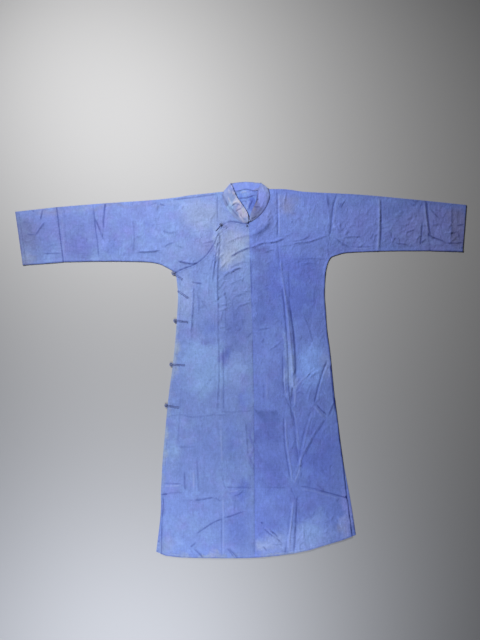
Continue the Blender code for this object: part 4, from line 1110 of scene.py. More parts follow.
def wovenCotton(name, look):
    # Plain-woven cotton, indigo dyed and worn: matt, with a faint nap, slubs in the yarn and patchy fading
    made, tree, shader = newMaterial(name, cotton["surface"])
    place = addNode(tree, "TexCoord").outputs["Object"]

    # the fades' edges wander as dye and water stains do
    drift = addNode(tree, "TexNoise", {
        "Vector": place, "Scale": 1 / cotton["driftSize"], "Detail": 6.0, "Roughness": 0.6})
    drift = addNode(tree, "VectorMath", {0: drift.outputs["Color"], 1: (0.5, 0.5, 0.5)},
                    operation="SUBTRACT")
    drift = addNode(tree, "VectorMath", {
        0: drift.outputs[0], 1: (cotton["drift"], cotton["drift"], 0.0)}, operation="MULTIPLY")
    wandering = addNode(tree, "VectorMath", {0: place, 1: drift.outputs[0]},
                        operation="ADD").outputs[0]
    colour = hexColour(look["base"])
    patches = [(wandering, 1.0, row) for row in look["fades"]]
    # the back of the neck kept its dye, with painted shade under the collar's band: only the lowest layer has
    # this colour
    patches += [(place, depth * mm, row) for depth, *row in look.get("inside", ())]
    for vector, depth, (x, y, halfWidth, halfHeight, turn, soft, tint, share) in patches:
        onCloth = addNode(tree, "Mapping", {
            "Vector": vector, "Location": (x * mm, y * mm, 0.0), "Rotation": (0.0, 0.0, math.radians(turn)),
            "Scale": (halfWidth * mm, halfHeight * mm, depth)}, vector_type="TEXTURE")
        if halfHeight < 0:
            # a squarish patch: what is left of 1 beyond the larger of the two distances
            size = addNode(tree, "VectorMath", {0: onCloth.outputs[0]}, operation="ABSOLUTE")
            size = addNode(tree, "SeparateXYZ", {0: size.outputs[0]})
            size = addNode(tree, "Math", {0: size.outputs[0], 1: size.outputs[1]},
                           operation="MAXIMUM")
            near = addNode(tree, "Math", {0: 1.0, 1: size.outputs[0]}, operation="SUBTRACT")
        else:
            near = addNode(tree, "TexGradient", {"Vector": onCloth.outputs[0]},
                           gradient_type="SPHERICAL")
        amount = addNode(tree, "MapRange", {
            "Value": near.outputs[-1], "From Max": soft, "To Max": share}, interpolation_type="SMOOTHSTEP")
        colour = addNode(tree, "Mix", {0: amount.outputs[0], mixA: colour, mixB: hexColour(tint)},
                         data_type="RGBA").outputs[mixResult]

    # dye that has turned violet here and greenish there
    for shift, tint in ((0.0, look["violet"]), (3.0, look["cyan"])):
        moved = addNode(tree, "Mapping", {"Vector": place, "Location": (shift, shift, shift)})
        cloud = addNode(tree, "TexNoise", {
            "Vector": moved.outputs[0], "Scale": 1 / cotton["cloudSize"], "Detail": 6.0, "Roughness": 0.62})
        amount = addNode(tree, "MapRange", {
            "Value": cloud.outputs["Fac"], "From Min": 0.5, "From Max": 0.78, "To Max": cotton["cloudShare"]})
        colour = addNode(tree, "Mix", {0: amount.outputs[0], mixA: colour, mixB: hexColour(tint)},
                         data_type="RGBA").outputs[mixResult]

    # mottling, and slubs along warp and weft
    for sizeX, sizeY, turn, detail, low, high in look["streaks"]:
        stretched = addNode(tree, "Mapping", {
            "Vector": place, "Rotation": (0.0, 0.0, math.radians(turn)),
            "Scale": (1 / (sizeX * mm), 1 / (sizeY * mm), 120.0)})
        grain = addNode(tree, "TexNoise", {
            "Vector": stretched.outputs[0], "Scale": 1.0, "Detail": detail})
        shade = addNode(tree, "MapRange", {
            "Value": grain.outputs["Fac"], "From Min": 0.3, "From Max": 0.7, "To Min": low, "To Max": high})
        colour = addNode(tree, "Mix", {0: 1.0, mixA: colour, mixB: shade.outputs[0]},
                         data_type="RGBA", blend_type="MULTIPLY").outputs[mixResult]

    # soil and painted shade along creases, edges and seams, and rubbed wear with painted highlight on crests
    # and the collar's edge
    tone = addNode(tree, "Attribute", attribute_name="tone").outputs["Fac"]
    for sign, tint in ((-1.0, look["soilAndShade"]), (1.0, look["rubbedAndHighlight"])):
        amount = addNode(tree, "Math", {0: tone, 1: sign}, operation="MULTIPLY", use_clamp=True)
        colour = addNode(tree, "Mix", {0: amount.outputs[0], mixA: colour, mixB: hexColour(tint)},
                         data_type="RGBA").outputs[mixResult]
    tree.links.new(colour, shader.inputs["Base Color"])

    # plain weave
    warp, weft = (addNode(tree, "TexWave", {"Vector": place, "Scale": wavePitch / cotton["yarn"]},
                          bands_direction=way).outputs["Fac"] for way in "XY")
    weave = addNode(tree, "Math", {0: warp, 1: weft}, operation="MULTIPLY")
    bump = addNode(tree, "Bump", {
        "Height": weave.outputs[0], "Strength": 0.35, "Distance": cotton["weaveDepth"]})
    # the small creases that a worn cloth keeps between the modelled ones
    rumple = addNode(tree, "TexNoise", {
        "Vector": place, "Scale": 1 / cotton["rumpleSize"], "Detail": 5.0, "Roughness": 0.6,
        "Distortion": 0.8})
    bump = addNode(tree, "Bump", {
        "Height": rumple.outputs["Fac"], "Strength": 0.8, "Distance": look["rumple"] * mm,
        "Normal": bump.outputs[0]})
    # sharp crossing wrinkles, longer along the cloth than across it
    for sizeX, sizeY, turn, share in cotton["wrinkles"]:
        stretched = addNode(tree, "Mapping", {
            "Vector": wandering, "Rotation": (0.0, 0.0, math.radians(turn)),
            "Scale": (1 / (sizeX * mm), 1 / (sizeY * mm), 60.0)})
        ridges = addNode(tree, "TexNoise", {
            "Vector": stretched.outputs[0], "Scale": 1.0, "Detail": 3.0, "Roughness": 0.45, "Offset": 0.9,
            "Gain": 1.6}, noise_type="RIDGED_MULTIFRACTAL", normalize=True)
        bump = addNode(tree, "Bump", {
            "Height": ridges.outputs["Fac"], "Strength": 0.6, "Distance": look["wrinkle"] * share * mm,
            "Normal": bump.outputs[0]})
    tree.links.new(bump.outputs[0], shader.inputs["Normal"])
    return made


# Mottling and slubs: size across and along in mm, turn in degrees, detail, low and high brightness
clothStreaks = [
    (34, 40, 33, 5.0, 0.92, 1.08),
    (9, 12, -28, 3.0, 0.93, 1.07),
    (3, 36, 4, 3.0, 0.95, 1.05),
    (30, 4, 3, 3.0, 0.96, 1.04),
    (6, 7, 15, 3.0, 0.94, 1.06),
]
# Fades, in mm: x, y, half width, half height (below zero for a squarish one), turn in degrees, softness,
# colour, share. Those inside the neck start with how far up they reach from the floor, also in mm.
insideNeck = [
    (1.9, 20, 670, 85, 85, 0, 0.25, "#6a86d2", 1.0),
    (1.9, 16, 708, 34, 20, 0, 0.25, "#7f9be0", 0.6),
    # painted shade under the collar's band
    (2.2, 46, 664, 22, 40, 0, 0.25, "#4a62bb", 0.85),
    (2.2, -2, 690, 14, 26, 0, 0.25, "#5970c6", 0.6),
]
# The wearer's right side: faded, with pale breast and belly. Bump depths in mm
fadedLook = {
    "base": "#7288c9",
    "soilAndShade": "#20307e",
    "rubbedAndHighlight": "#b7c5ee",
    "violet": "#8a82d2",
    "cyan": "#8fb6e4",
    "rumple": 2.2,
    "wrinkle": 0.7,
    "fades": [
        (-640, 545, 330, 150, -4, 0.6, "#6676ba", 0.85),
        (-880, 525, 110, 150, 8, 0.8, "#636b9b", 0.8),
        (-640, 500, 60, 60, 0, 0.9, "#656eb8", 0.6),
        (-500, 500, 80, 50, 0, 0.9, "#6a81c9", 0.6),
        (-240, 470, 120, 70, 10, 0.8, "#7a8ecb", 0.7),
        (-150, 620, 140, 110, 0, 0.8, "#8798c4", 0.8),
        (-140, 500, 60, 60, 0, 0.9, "#8488c2", 0.5),
        (-22, 500, 90, 110, 0, 0.8, "#8e9cc2", 0.85),
        (-120, 320, 60, 110, 0, 0.8, "#7995d2", 0.7),
        (-220, 290, 50, 140, 0, 0.8, "#8a9bd1", 0.7),
        (-20, 180, 85, 150, 0, 0.9, "#5b6db9", 0.75),
        (-120, 170, 60, 60, 0, 0.9, "#6078c9", 0.6),
        (-150, 30, 130, 150, 0, 0.6, "#819fdb", 0.85),
        (-20, 0, 60, 90, 0, 0.7, "#839cdc", 0.75),
        (-58, 60, 40, 64, 0, 0.9, "#4b5db0", 0.7),
        (-125, 112, 50, 42, 0, 0.9, "#6573bf", 0.6),
        (-268, 110, 30, 270, -4, 0.9, "#a6b5c3", 0.6),
        (-312, -290, 26, 260, -3, 0.9, "#a1afbc", 0.5),
        # painted highlight along the folded edge of the hem
        (-150, -742, 200, 16, 0, 0.9, "#8f9cb0", 0.6),
        (-480, 652, 330, 16, 3, 0.9, "#737da8", 0.6),
        (44, -300, 15, 170, 0, 0.9, "#5258b1", 0.5),
        (-300, -705, 70, 50, 0, 0.9, "#8597be", 0.6),
        (-64, 436, 52, 58, 0, 0.8, "#a3b2ce", 0.65),
        (-92, 520, 28, 70, 0, 0.8, "#91a4cc", 0.7),
        (-410, 642, 95, 60, 0, 0.8, "#6c7bbe", 0.7),
        (-365, 550, 40, 70, 0, 0.8, "#6576be", 0.7),
        (-770, 634, 75, 32, 0, 0.9, "#787ea8", 0.6),
        (-850, 440, 46, 40, 0, 0.9, "#7b7ca0", 0.6),
        (-555, 515, 45, 62, 0, 0.9, "#7c8fd7", 0.5),
        (15, -120, 44, 62, 0, 0.9, "#6274d1", 0.6),
        (0, -480, 62, 74, 0, 0.9, "#5769c3", 0.7),
        (-100, -290, 160, 120, 0, 0.8, "#6c82c7", 0.6),
        (-30, -290, 50, 160, 0, 0.9, "#6378c4", 0.6),
        (-40, -360, 60, 40, 0, 0.9, "#6c86c2", 0.5),
        (-270, -330, 40, 160, 0, 0.9, "#7d92cc", 0.6),
        (-200, -640, 130, 90, 0, 0.8, "#7489c4", 0.7),
        (-10, -620, 70, 130, 0, 0.8, "#5e72c1", 0.6),
    ],
    "streaks": clothStreaks,
    "inside": insideNeck,
}
# The wearer's left side kept more dye
deepLook = {
    "base": "#6c82d2",
    "soilAndShade": "#1c2a78",
    "rubbedAndHighlight": "#98acec",
    "violet": "#6a63b8",
    "cyan": "#7fa2de",
    "rumple": 2.2,
    "wrinkle": 0.7,
    "fades": [
        (100, 620, 60, 110, 0, 0.8, "#7181c5", 0.6),
        (250, 610, 130, 100, 0, 0.8, "#758ed8", 0.6),
        (200, 330, 170, 190, 0, 0.5, "#5d72cb", 0.85),
        (90, 240, 60, 110, 0, 0.8, "#5a70bc", 0.7),
        (280, 20, 80, 140, 0, 0.7, "#86a9f8", 0.85),
        (110, 30, 70, 120, 0, 0.8, "#7890dd", 0.6),
        (112, -204, 60, -54, 0, 0.7, "#5064ae", 0.65),
        (110, -262, 90, 56, 0, 0.9, "#5d70bf", 0.9),
        (86, -172, 22, -18, 0, 0.8, "#4f62a8", 0.6),
        (138, -172, 20, -17, 0, 0.8, "#4f62aa", 0.6),
        (200, 0, 32, 130, 2, 0.9, "#95b0e7", 0.7),
        (177, 100, 20, 70, 4, 0.9, "#8aa7e6", 0.6),
        (345, 20, 32, 95, 4, 0.9, "#92a8ea", 0.6),
        (185, 655, 62, 52, 0, 0.9, "#8087b5", 0.7),
        (80, 400, 60, 190, 0, 0.9, "#5c6db1", 0.6),
        # painted shadow of the collar on the breast, and painted shade below the breast fold
        (86, 556, 66, 26, 42, 0.9, "#4e61a3", 0.7),
        (76, 486, 60, 20, 8, 0.9, "#5160a1", 0.7),
        (64, -300, 15, 160, 0, 0.9, "#4d55a3", 0.4),
        (335, 580, 32, 64, 0, 0.9, "#7890e3", 0.5),
        (300, -330, 120, 190, 0, 0.7, "#6175ce", 0.8),
        (120, -400, 80, 120, 0, 0.8, "#6072c4", 0.7),
        (150, -560, 110, 70, 0, 0.8, "#6f83d0", 0.7),
        (260, -690, 230, 120, 12, 1.0, "#8fa5e5", 0.9),
        (280, -645, 60, 62, 0, 0.9, "#8baae8", 0.6),
        (300, -585, 62, 42, 0, 0.9, "#87a3e5", 0.6),
        (85, -705, 54, 40, 0, 0.9, "#9eadd4", 0.7),
        (417, -625, 40, 64, 6, 0.9, "#a8b4ec", 0.6),
        (390, -630, 22, 30, 0, 0.9, "#8a91bf", 0.5),
        (130, -690, 80, 60, 0, 0.8, "#91a5dc", 0.7),
        (420, -560, 30, 120, 8, 0.9, "#8d96e6", 0.6),
        (170, -735, 150, 15, 6, 0.9, "#a0acb8", 0.55),
        (500, 570, 180, 130, 0, 0.7, "#7889dc", 0.7),
        (780, 560, 220, 140, 0, 0.6, "#808bda", 0.85),
        (870, 570, 50, 120, 0, 0.6, "#7a7fb9", 0.8),
    ],
    "streaks": clothStreaks,
    "inside": insideNeck,
}
# The collar: faded band, rubbed to a pinkish cream along its upper edge, and bright inside
collarLook = {
    "base": "#7784bb",
    "soilAndShade": "#262e6c",
    "rubbedAndHighlight": "#c9c2cc",
    "violet": "#8a80c4",
    "cyan": "#a8c4e0",
    "rumple": 1.6,
    "wrinkle": 0.7,
    "fades": [
        (20, 735, 70, 26, 0, 0.5, "#7389dc", 0.95),
        (-40, 675, 30, 70, 20, 0.8, "#778bba", 0.8),
        (88, 672, 36, 80, 0, 0.7, "#7f8fe0", 0.95),
        (56, 640, 26, 50, -20, 0.8, "#6066a1", 0.8),
        (-16, 670, 21, 14, 20, 0.7, "#a2aacd", 0.8),
        (-42, 662, 13, 22, 0, 0.6, "#8ba9dc", 0.8),
        (0, 652, 13, 13, 0, 0.6, "#aeabcb", 0.8),
        (11, 624, 20, 32, 18, 0.5, "#a5a3c6", 0.95),
        (15, 634, 7, 24, 0, 0.7, "#aab2bf", 0.7),
        (53, 660, 12, 48, -12, 0.6, "#6f718e", 0.85),
        (56, 604, 26, 18, 30, 0.8, "#626aa2", 0.7),
    ],
    "streaks": [
        (14, 14, 30, 4.0, 0.92, 1.07),
        (4, 40, 0, 2.0, 0.96, 1.03),
    ],
}
materials = {
    "faded": wovenCotton("woven cotton, faded", fadedLook),
    "deep": wovenCotton("woven cotton, deep dyed", deepLook),
    "collar": wovenCotton("woven cotton, doubled and rubbed", collarLook),
}

# Cotton cord and thread: what they share, then each one's name, dye and worn colour
twist = {
    "surface": {"Roughness": 0.85, "Sheen Weight": 0.1},
    "wearSize": 4 * mm,
    "pitch": 1.6 * mm,            # from one turn to the next
    "depth": 0.3 * mm,
}
cordLooks = {
    "cord": ("rolled cotton cord, dark", "#3d4673", "#7c88ac"),
    "strip": ("rolled cotton cord, worn", "#4b5993", "#7485c2"),
    "paleStrip": ("rolled cotton cord, faded", "#6272b0", "#93a3d6"),
    "thread": ("cotton sewing thread", "#46549c", "#6273b8"),
}


def twistedCotton(name, dye, worn):
    # Rolled or spun cotton: dark and matt, with its turns winding along it, paler where it is rubbed
    made, tree, shader = newMaterial(name, twist["surface"])
    place = addNode(tree, "TexCoord").outputs["Object"]
    rubbing = addNode(tree, "TexNoise", {
        "Vector": place, "Scale": 1 / twist["wearSize"], "Detail": 4.0})
    amount = addNode(tree, "MapRange", {
        "Value": rubbing.outputs["Fac"], "From Min": 0.35, "From Max": 0.7})
    colour = addNode(tree, "Mix", {
        0: amount.outputs[0], mixA: hexColour(dye), mixB: hexColour(worn)}, data_type="RGBA")
    tree.links.new(colour.outputs[mixResult], shader.inputs["Base Color"])
    turns = addNode(tree, "TexWave", {
        "Vector": place, "Scale": wavePitch / twist["pitch"], "Distortion": 0.6}, bands_direction="DIAGONAL")
    bump = addNode(tree, "Bump", {
        "Height": turns.outputs["Fac"], "Strength": 0.5, "Distance": twist["depth"]})
    tree.links.new(bump.outputs[0], shader.inputs["Normal"])
    return made


for key, names in cordLooks.items():
    materials[key] = twistedCotton(*names)
print("materials ready")


def dress(piece, node, look):
    piece.data.materials.append(materials[look])
    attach(piece, "root")
    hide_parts(node)
    return piece


half = 0.04 * mm                   # sewn pieces touch: no light passes between them
rightNeck = neckArc(neck["centreAngle"], math.pi)
leftNeck = neckArc(0.0, neck["centreAngle"])
hemMiddle = (seamX(-0.7515), levelOf(hem, seamX(-0.7515)))
# The dark line along the overlap's edge, painted shadow of the flap's edge on the panel and on the flap's own
# rim, and where it is fainter below the chest knot; worn is the share by which it is fainter there
overlapLine = {
    "fainterFrom": 0.485,
    "fromReach": 30 * mm,
    "fainterTo": 0.575,
    "toReach": 12 * mm,
    "worn": 0.55,
    "swing": 0.7,
    "waves": 60,
    "onFlap": (0.75, 4.0 * mm),    # tone and reach
    "onPanel": (0.6, 5.0 * mm),
}


def overlapShade(places):
    y = places[:, 1]
    worn = soften((y - overlapLine["fainterFrom"]) / overlapLine["fromReach"])
    worn *= soften((overlapLine["fainterTo"] - y) / overlapLine["toReach"])
    uneven = 1 + overlapLine["swing"] * noiseOver(places, overlapLine["waves"], overlapLine["waves"], 5.0)
    return (1 - overlapLine["worn"] * worn) * uneven


def leftPanel():
    top = smoothRun(partOf(leftTop, seams["leftSleeve"][0] - half, leftTop[0][0]))
    under = smoothRun(partOf(leftUnder, leftUnder[0][0], seams["leftSleeve"][1] - half))
    sleeveUp = evenRun([under[-1], top[0]])
    neckEdge = np.vstack([leftTop[0], leftNeck])
    frontHem = evenRun(partOf(hem, hemMiddle[0] + half, hemCorners["frontLeft"]))
    backHem = evenRun(partOf(hem, hemMiddle[0] + half, hemCorners["backLeft"]))
    front = joined(seamRun(neckEdge[-1][1], hemMiddle[1], half), frontHem, leftSide[::-1], under, sleeveUp,
                   top, evenRun(neckEdge))
    backEdge = [p for p in smoothRun(backNeck) if p[0] > seamX(p[1]) + outlineEase["seam"]][::-1]
    back = joined(seamRun(backEdge[-1][1], hemMiddle[1], half), backHem, backLeftSide[::-1], under, sleeveUp,
                  top, backEdge)
    piece = clothShell(
        "left_panel_cloth", backLayer(back),
        frontLayer(front, leftFrontFolds + leftSleeveFolds, ["hem", "left vent"], lapLift),
        [top, under[::-1]])
    return dress(piece, "left_panel", "deep")


def rightPanel():
    # the back, the shoulder and the upper sleeve, with the inner front that ends above the outer hem
    top = smoothRun(partOf(rightTop, rightTop[-1][0], seams["rightSleeve"][0] + half))
    under = smoothRun(partOf(rightUnder, seams["rightSleeve"][1] + half, rightUnder[-1][0]))
    sleeveDown = evenRun([top[-1], under[0]])
    backHem = evenRun(partOf(hem, hemCorners["backRight"], hemMiddle[0] - half))
    armpit, level = backRightSide[0][1], underlap["hem"]
    innerSide = np.array([
        (x + underlap["side"] * min(1, max(0, armpit - y) / underlap["sideOver"]), y)
        for x, y in backRightSide if y > level + outlineEase["end"]])
    innerHem = evenRun([(innerSide[-1][0], level), (seamX(level) - underlap["inset"], level)])
    innerEdge = seamRun(level, rightNeck[0][1] - outlineEase["end"], -underlap["inset"])
    front = joined(top, sleeveDown, under, innerSide, innerHem, innerEdge, rightNeck[2:])
    backEdge = [p for p in smoothRun(backNeck) if p[0] < seamX(p[1]) - outlineEase["seam"]][::-1]
    back = joined(top, sleeveDown, under, backRightSide, backHem,
                  seamRun(hemMiddle[1], backEdge[0][1], -half), backEdge)
    flat, triangles = fillOutline(front, cloth["fineStep"], rightSleeveFolds)
    rise, tone = frontRise(flat)
    overEdge = flat[:, 1] - levelOf(flapEdge[::-1], flat[:, 0])
    free = soften((overEdge - underlap["free"]) / underlap["freeReach"])      # 0 under the flap
    share = cloth["innerShare"] + (1 - cloth["innerShare"]) * free
    # painted shadow of the flap's edge on the panel
    soilAndShade, reach = overlapLine["onPanel"]
    tone = tone - soilAndShade * overlapShade(flat) * fadeOff(awayFrom(smoothRun(flapEdge, 6 * mm), flat), reach)
    piece = clothShell(
        "right_panel_cloth", backLayer(back),
        (flat, triangles, cloth["level"] + cloth["wall"] / 2 + rise * share, tone), [top, under])
    return dress(piece, "right_panel", "faded")


def frontFlap():
    edge = smoothRun(flapEdge)
    frontHem = evenRun(partOf(hem, hemCorners["flapRight"], hemMiddle[0] - half))
    outline = joined(edge, rightSide, frontHem, seamRun(hemMiddle[1], flapEdge[0][1], -half))
    flat, triangles, height, tone = frontLayer(
        outline, flapFolds, ["hem", "right vent", "flap edge"], lapLift)
    # painted shade along the flap's own edge
    soilAndShade, reach = overlapLine["onFlap"]
    tone = tone - soilAndShade * overlapShade(flat) * fadeOff(awayFrom(edge, flat), reach)
    piece = addPiece("front_flap_cloth", np.column_stack([flat, height]), triangles, tone)
    thicken(piece, cloth["wall"])
    return dress(piece, "front_flap", "faded")


def sleeveEnd(side, topTable, underTable, towards, look):
    # towards is 1 for the wearer's right sleeve, whose body lies towards +X
    seamTop, seamUnder = (x - towards * half for x in seams[side + "Sleeve"])
    cuffTop, cuffUnder = seams[side + "Cuff"]
    topRun = smoothRun(partOf(topTable, seamTop, cuffTop))
    underRun = smoothRun(partOf(underTable, cuffUnder, seamUnder))
    cuffRun = evenRun([topRun[-1], underRun[0]])
    outline = joined(topRun, cuffRun, underRun, evenRun([underRun[-1], topRun[0]]))[::towards]
    flat, triangles = fillOutline(outline, cloth["coarseStep"])
    back = (flat, triangles, np.full(len(flat), cloth["wall"] / 2), np.zeros(len(flat)))
    flat, triangles, height, tone = frontLayer(
        outline, leftSleeveFolds + rightSleeveFolds, [side + " cuff"])
    # painted shade in the cuff's open edge
    soilAndShade, reach = relief["cuffShade"]
    tone = tone - soilAndShade * fadeOff(awayFrom(cuffRun, flat), reach)
    piece = clothShell(side + "_sleeve_end_cloth", back, (flat, triangles, height, tone),
                       [topRun[::towards], underRun[::towards]])
    return dress(piece, side + "_sleeve_end", look)


sheets = {"left": leftPanel()}
print("left panel ready:", len(sheets["left"].data.polygons), "faces")
sheets["right"] = rightPanel()
print("right panel ready:", len(sheets["right"].data.polygons), "faces")
sheets["flap"] = frontFlap()
print("front flap ready:", len(sheets["flap"].data.polygons), "faces")
sheets["rightEnd"] = sleeveEnd("right", rightTop, rightUnder, 1, "faded")
sheets["leftEnd"] = sleeveEnd("left", leftTop, leftUnder, -1, "deep")
print("sleeve ends ready")

# The collar band, in one strip from the right front edge round the back to the left front edge
collarShape = {
    "wall": 2.0 * mm,
    "base": 3.6 * mm,             # height over the floor at the neck seam
    "rise": 6.0 * mm,             # crown of the band over that
    "crownTurn": 0.62,            # share of a half turn that the crown runs through
    "crownPower": 0.8,
    "settle": 0.55,               # how far the crown sinks towards the folds, over the last settleShare
    "settleShare": 0.25,
    "wave": 0.7 * mm,
    "waves": (55, 42),            # to a metre
    "rubWidth": 0.16,             # of the band is rubbed along its upper edge, more or less with the waves
    "rubSwing": (0.6, 1.6),
    "soilWidth": 0.14,
    "backMiddle": 1.1 * mm,
    "backEdge": (0.45, 0.08),     # tone and width of the lines along the back strip's edges
    "backSoil": (0.5, 0.1),
    "acrossSteps": 12,
    "frontRows": 60,
    "backRows": 56,
    "turn": 1.3 * mm,             # how far the cloth bows out where it is folded
    "turnSteps": 5,
    "edge": 0.7 * mm,             # rounding
    "rightEnd": (0.0300, 0.5895),
    "leftEnd": (0.0360, 0.5905),
    "rightFold": (-0.0672, 0.7135),
    "leftFold": (0.1115, 0.7240),
}
collarRightEdge = [
    (0.0310, 0.5950), (0.0305, 0.6050), (0.0280, 0.6220), (0.0200, 0.6400), (0.0080, 0.6570),
    (-0.0120, 0.6860), (-0.0230, 0.7080), (-0.0390, 0.7465),
]
collarBackEdge = [(-0.0390, 0.7465), (0.0200, 0.7520), (0.0800, 0.7475)]
collarLeftEdge = [
    (0.0800, 0.7475), (0.0690, 0.7180), (0.0650, 0.6980), (0.0620, 0.6780), (0.0550, 0.6570),
    (0.0440, 0.6370), (0.0360, 0.6080), (0.0350, 0.5950),
]


def bandPlaces(seamLine, edgeLine, count):
    # rows of places from the neck seam to the upper edge, and each one's share of the way across and along
    at = np.linspace(0, 1, count)
    ends = []
    for line in (evenRun(seamLine, 1.0 * mm), smoothRun(edgeLine, 1.0 * mm)):
        shares = np.linspace(0, 1, len(line))
        ends.append(np.column_stack([np.interp(at, shares, line[:, k]) for k in (0, 1)])[:, None, :])
    across = np.linspace(0, 1, collarShape["acrossSteps"] + 1)
    u = across[None, :, None]
    places = ends[0] * (1 - u) + ends[1] * u
    return places.reshape(-1, 2), np.tile(across, count), np.repeat(at, len(across))


def frontStrip(seamLine, edgeLine, rubbing, soilAndShade, foldLast):
    # one front of the band, which is rubbed along its upper edge, and darker at its seam with soil and
    # painted shade
    flat, across, along = bandPlaces(seamLine, edgeLine, collarShape["frontRows"])
    lift, tone = foldRelief(collarCreases, flat)
    towardsFold = along if foldLast else 1 - along
    share = collarShape["settleShare"]
    settle = 1 - collarShape["settle"] * soften((towardsFold - (1 - share)) / share)
    crown = np.sin(across * math.pi * collarShape["crownTurn"]) ** collarShape["crownPower"]
    wave = noiseOver(flat, *collarShape["waves"], 7.0)
    z = collarShape["base"] + collarShape["rise"] * crown * settle + lift
    z = z + collarShape["wave"] * wave * across
    least, swing = collarShape["rubSwing"]
    tone = tone + rubbing * fadeOff(1 - across, collarShape["rubWidth"]) * (least + swing * wave)
    return flat, z, tone - soilAndShade * fadeOff(across, collarShape["soilWidth"])


def backStrip(seamLine):
    flat, across, _ = bandPlaces(seamLine, collarBackEdge, collarShape["backRows"])
    tone = foldRelief(collarCreases, flat)[1]
    for distance, (soilAndShade, width) in ((1 - across, collarShape["backEdge"]), (across, collarShape["backSoil"])):
        tone = tone - soilAndShade * fadeOff(distance, width)
    return flat, np.full(len(flat), collarShape["backMiddle"]), tone


def collarBand():
    steps = collarShape["acrossSteps"] + 1
    gap = cloth["gap"]
    rightFold, leftFold = collarShape["rightFold"], collarShape["leftFold"]
    rightSeam = np.vstack([
        collarShape["rightEnd"], neckArc(neck["centreAngle"] + 0.05, math.pi - 0.02, gap), rightFold])
    leftSeam = np.vstack([leftFold, neckArc(0.02, neck["centreAngle"] - 0.05, gap), collarShape["leftEnd"]])
    backLine = [p for p in smoothRun(backNeck, 2 * mm) if rightFold[0] < p[0] < leftFold[0]]
    backLine = np.vstack([rightFold, np.array(backLine) + (0, gap), leftFold])
    strips = [                     # strip, rows that are used, way that the cloth bows out before it
        (frontStrip(rightSeam, collarRightEdge, 0.5, 0.2, True), slice(None), None),
        (backStrip(backLine), slice(1, -1), (-1.0, 0.55, 0.0)),
        (frontStrip(leftSeam, collarLeftEdge, -0.35, 0.95, False), slice(None), (1.0, 0.55, 0.0)),
    ]
    rows, tones = [], []
    for (flat, z, tone), used, way in strips:
        block = np.column_stack([flat, z]).reshape(-1, steps, 3)[used]
        if way:
            # the turn at the fold, from one layer to the other
            last, first = rows[-1], block[0]
            away = np.array(way) / np.linalg.norm(way)
            for j in range(1, collarShape["turnSteps"]):
                angle = math.pi * j / collarShape["turnSteps"]
                share = (1 - math.cos(angle)) / 2
                rows.append(last * (1 - share) + first * share + away * collarShape["turn"] * math.sin(angle))
                tones.append(tones[-1])
        rows += list(block)
        tones += list(tone.reshape(-1, steps)[used])
    faces = []
    for i in range(len(rows) - 1):
        for j in range(steps - 1):
            a = i * steps + j
            faces.append((a, a + 1, a + steps + 1, a + steps))
    piece = addPiece("collar_cloth", np.vstack(rows), faces, np.concatenate(tones))
    thicken(piece, collarShape["wall"])
    rounded = piece.modifiers.new("rounded edges", "BEVEL")
    rounded.width = collarShape["edge"]
    rounded.segments = 3
    rounded.limit_method = "ANGLE"
    rounded.angle_limit = math.radians(60)
    return dress(piece, "collar", "collar")


sheets["collar"] = collarBand()
print("collar ready")

# Fasteners: ball knots, and cords doubled into a strip with a ring for the ball
frogs = {
    "drawn": 2.5 * mm,             # thickness of the cord between its stitches
    "spread": 2.5 * mm,            # from the strip's middle line to each cord
    "ring": 13.0 * mm,
    "ball": 10.0 * mm,
    "collarBall": 7.0 * mm,
    "sides": 10,
    "step": 1.5 * mm,
    "sunk": 0.92,                  # height of a cord's middle over the cloth, as a share of its radius
    "rounds": 12,                  # of evening out its heights
    "most": 2.2 * mm,              # a ring's height over the flap's flat top
    "uneven": (0.06, 300),         # share of a ring's thickness that swings, with so many waves to a metre
}
flapTop = 2 * cloth["level"] + cloth["wall"]
panelTop = cloth["level"] + cloth["wall"]
chestBall = (-0.0790, 0.5810)
frogPlaces = [                     # button, loop, ball, inner end of the strip, underside of the ball, look
    ("armpit_button", "armpit_loop", (-0.2690, 0.3870), (-0.2330, 0.3620), cloth["gap"], "strip"),
    ("side_button_1", "side_loop_1", (-0.2615, 0.1970), (-0.2110, 0.1920), cloth["gap"], "strip"),
    ("side_button_2", "side_loop_2", (-0.2770, 0.0220), (-0.2240, 0.0195), cloth["gap"], "strip"),
    ("side_button_3", "side_loop_3", (-0.2968, -0.1420), (-0.2460, -0.1500), cloth["gap"], "strip"),
    ("chest_button", "chest_loop", chestBall, (-0.0560, 0.5690), panelTop + 1.6 * mm, "paleStrip"),
]
# A ball knot: one cord plaited over and under itself round a sphere; its measures are shares of the ball
plait = {
    "cord": 0.155,
    "inset": 1.25,                 # of the cord's middle, in cord radii
    "weave": 0.5,                  # how far the cord moves out and in, in cord radii
    "latitude": math.radians(64),
    "bights": 4,
    "leads": 3,
    "points": 140,
    "sides": 8,
}


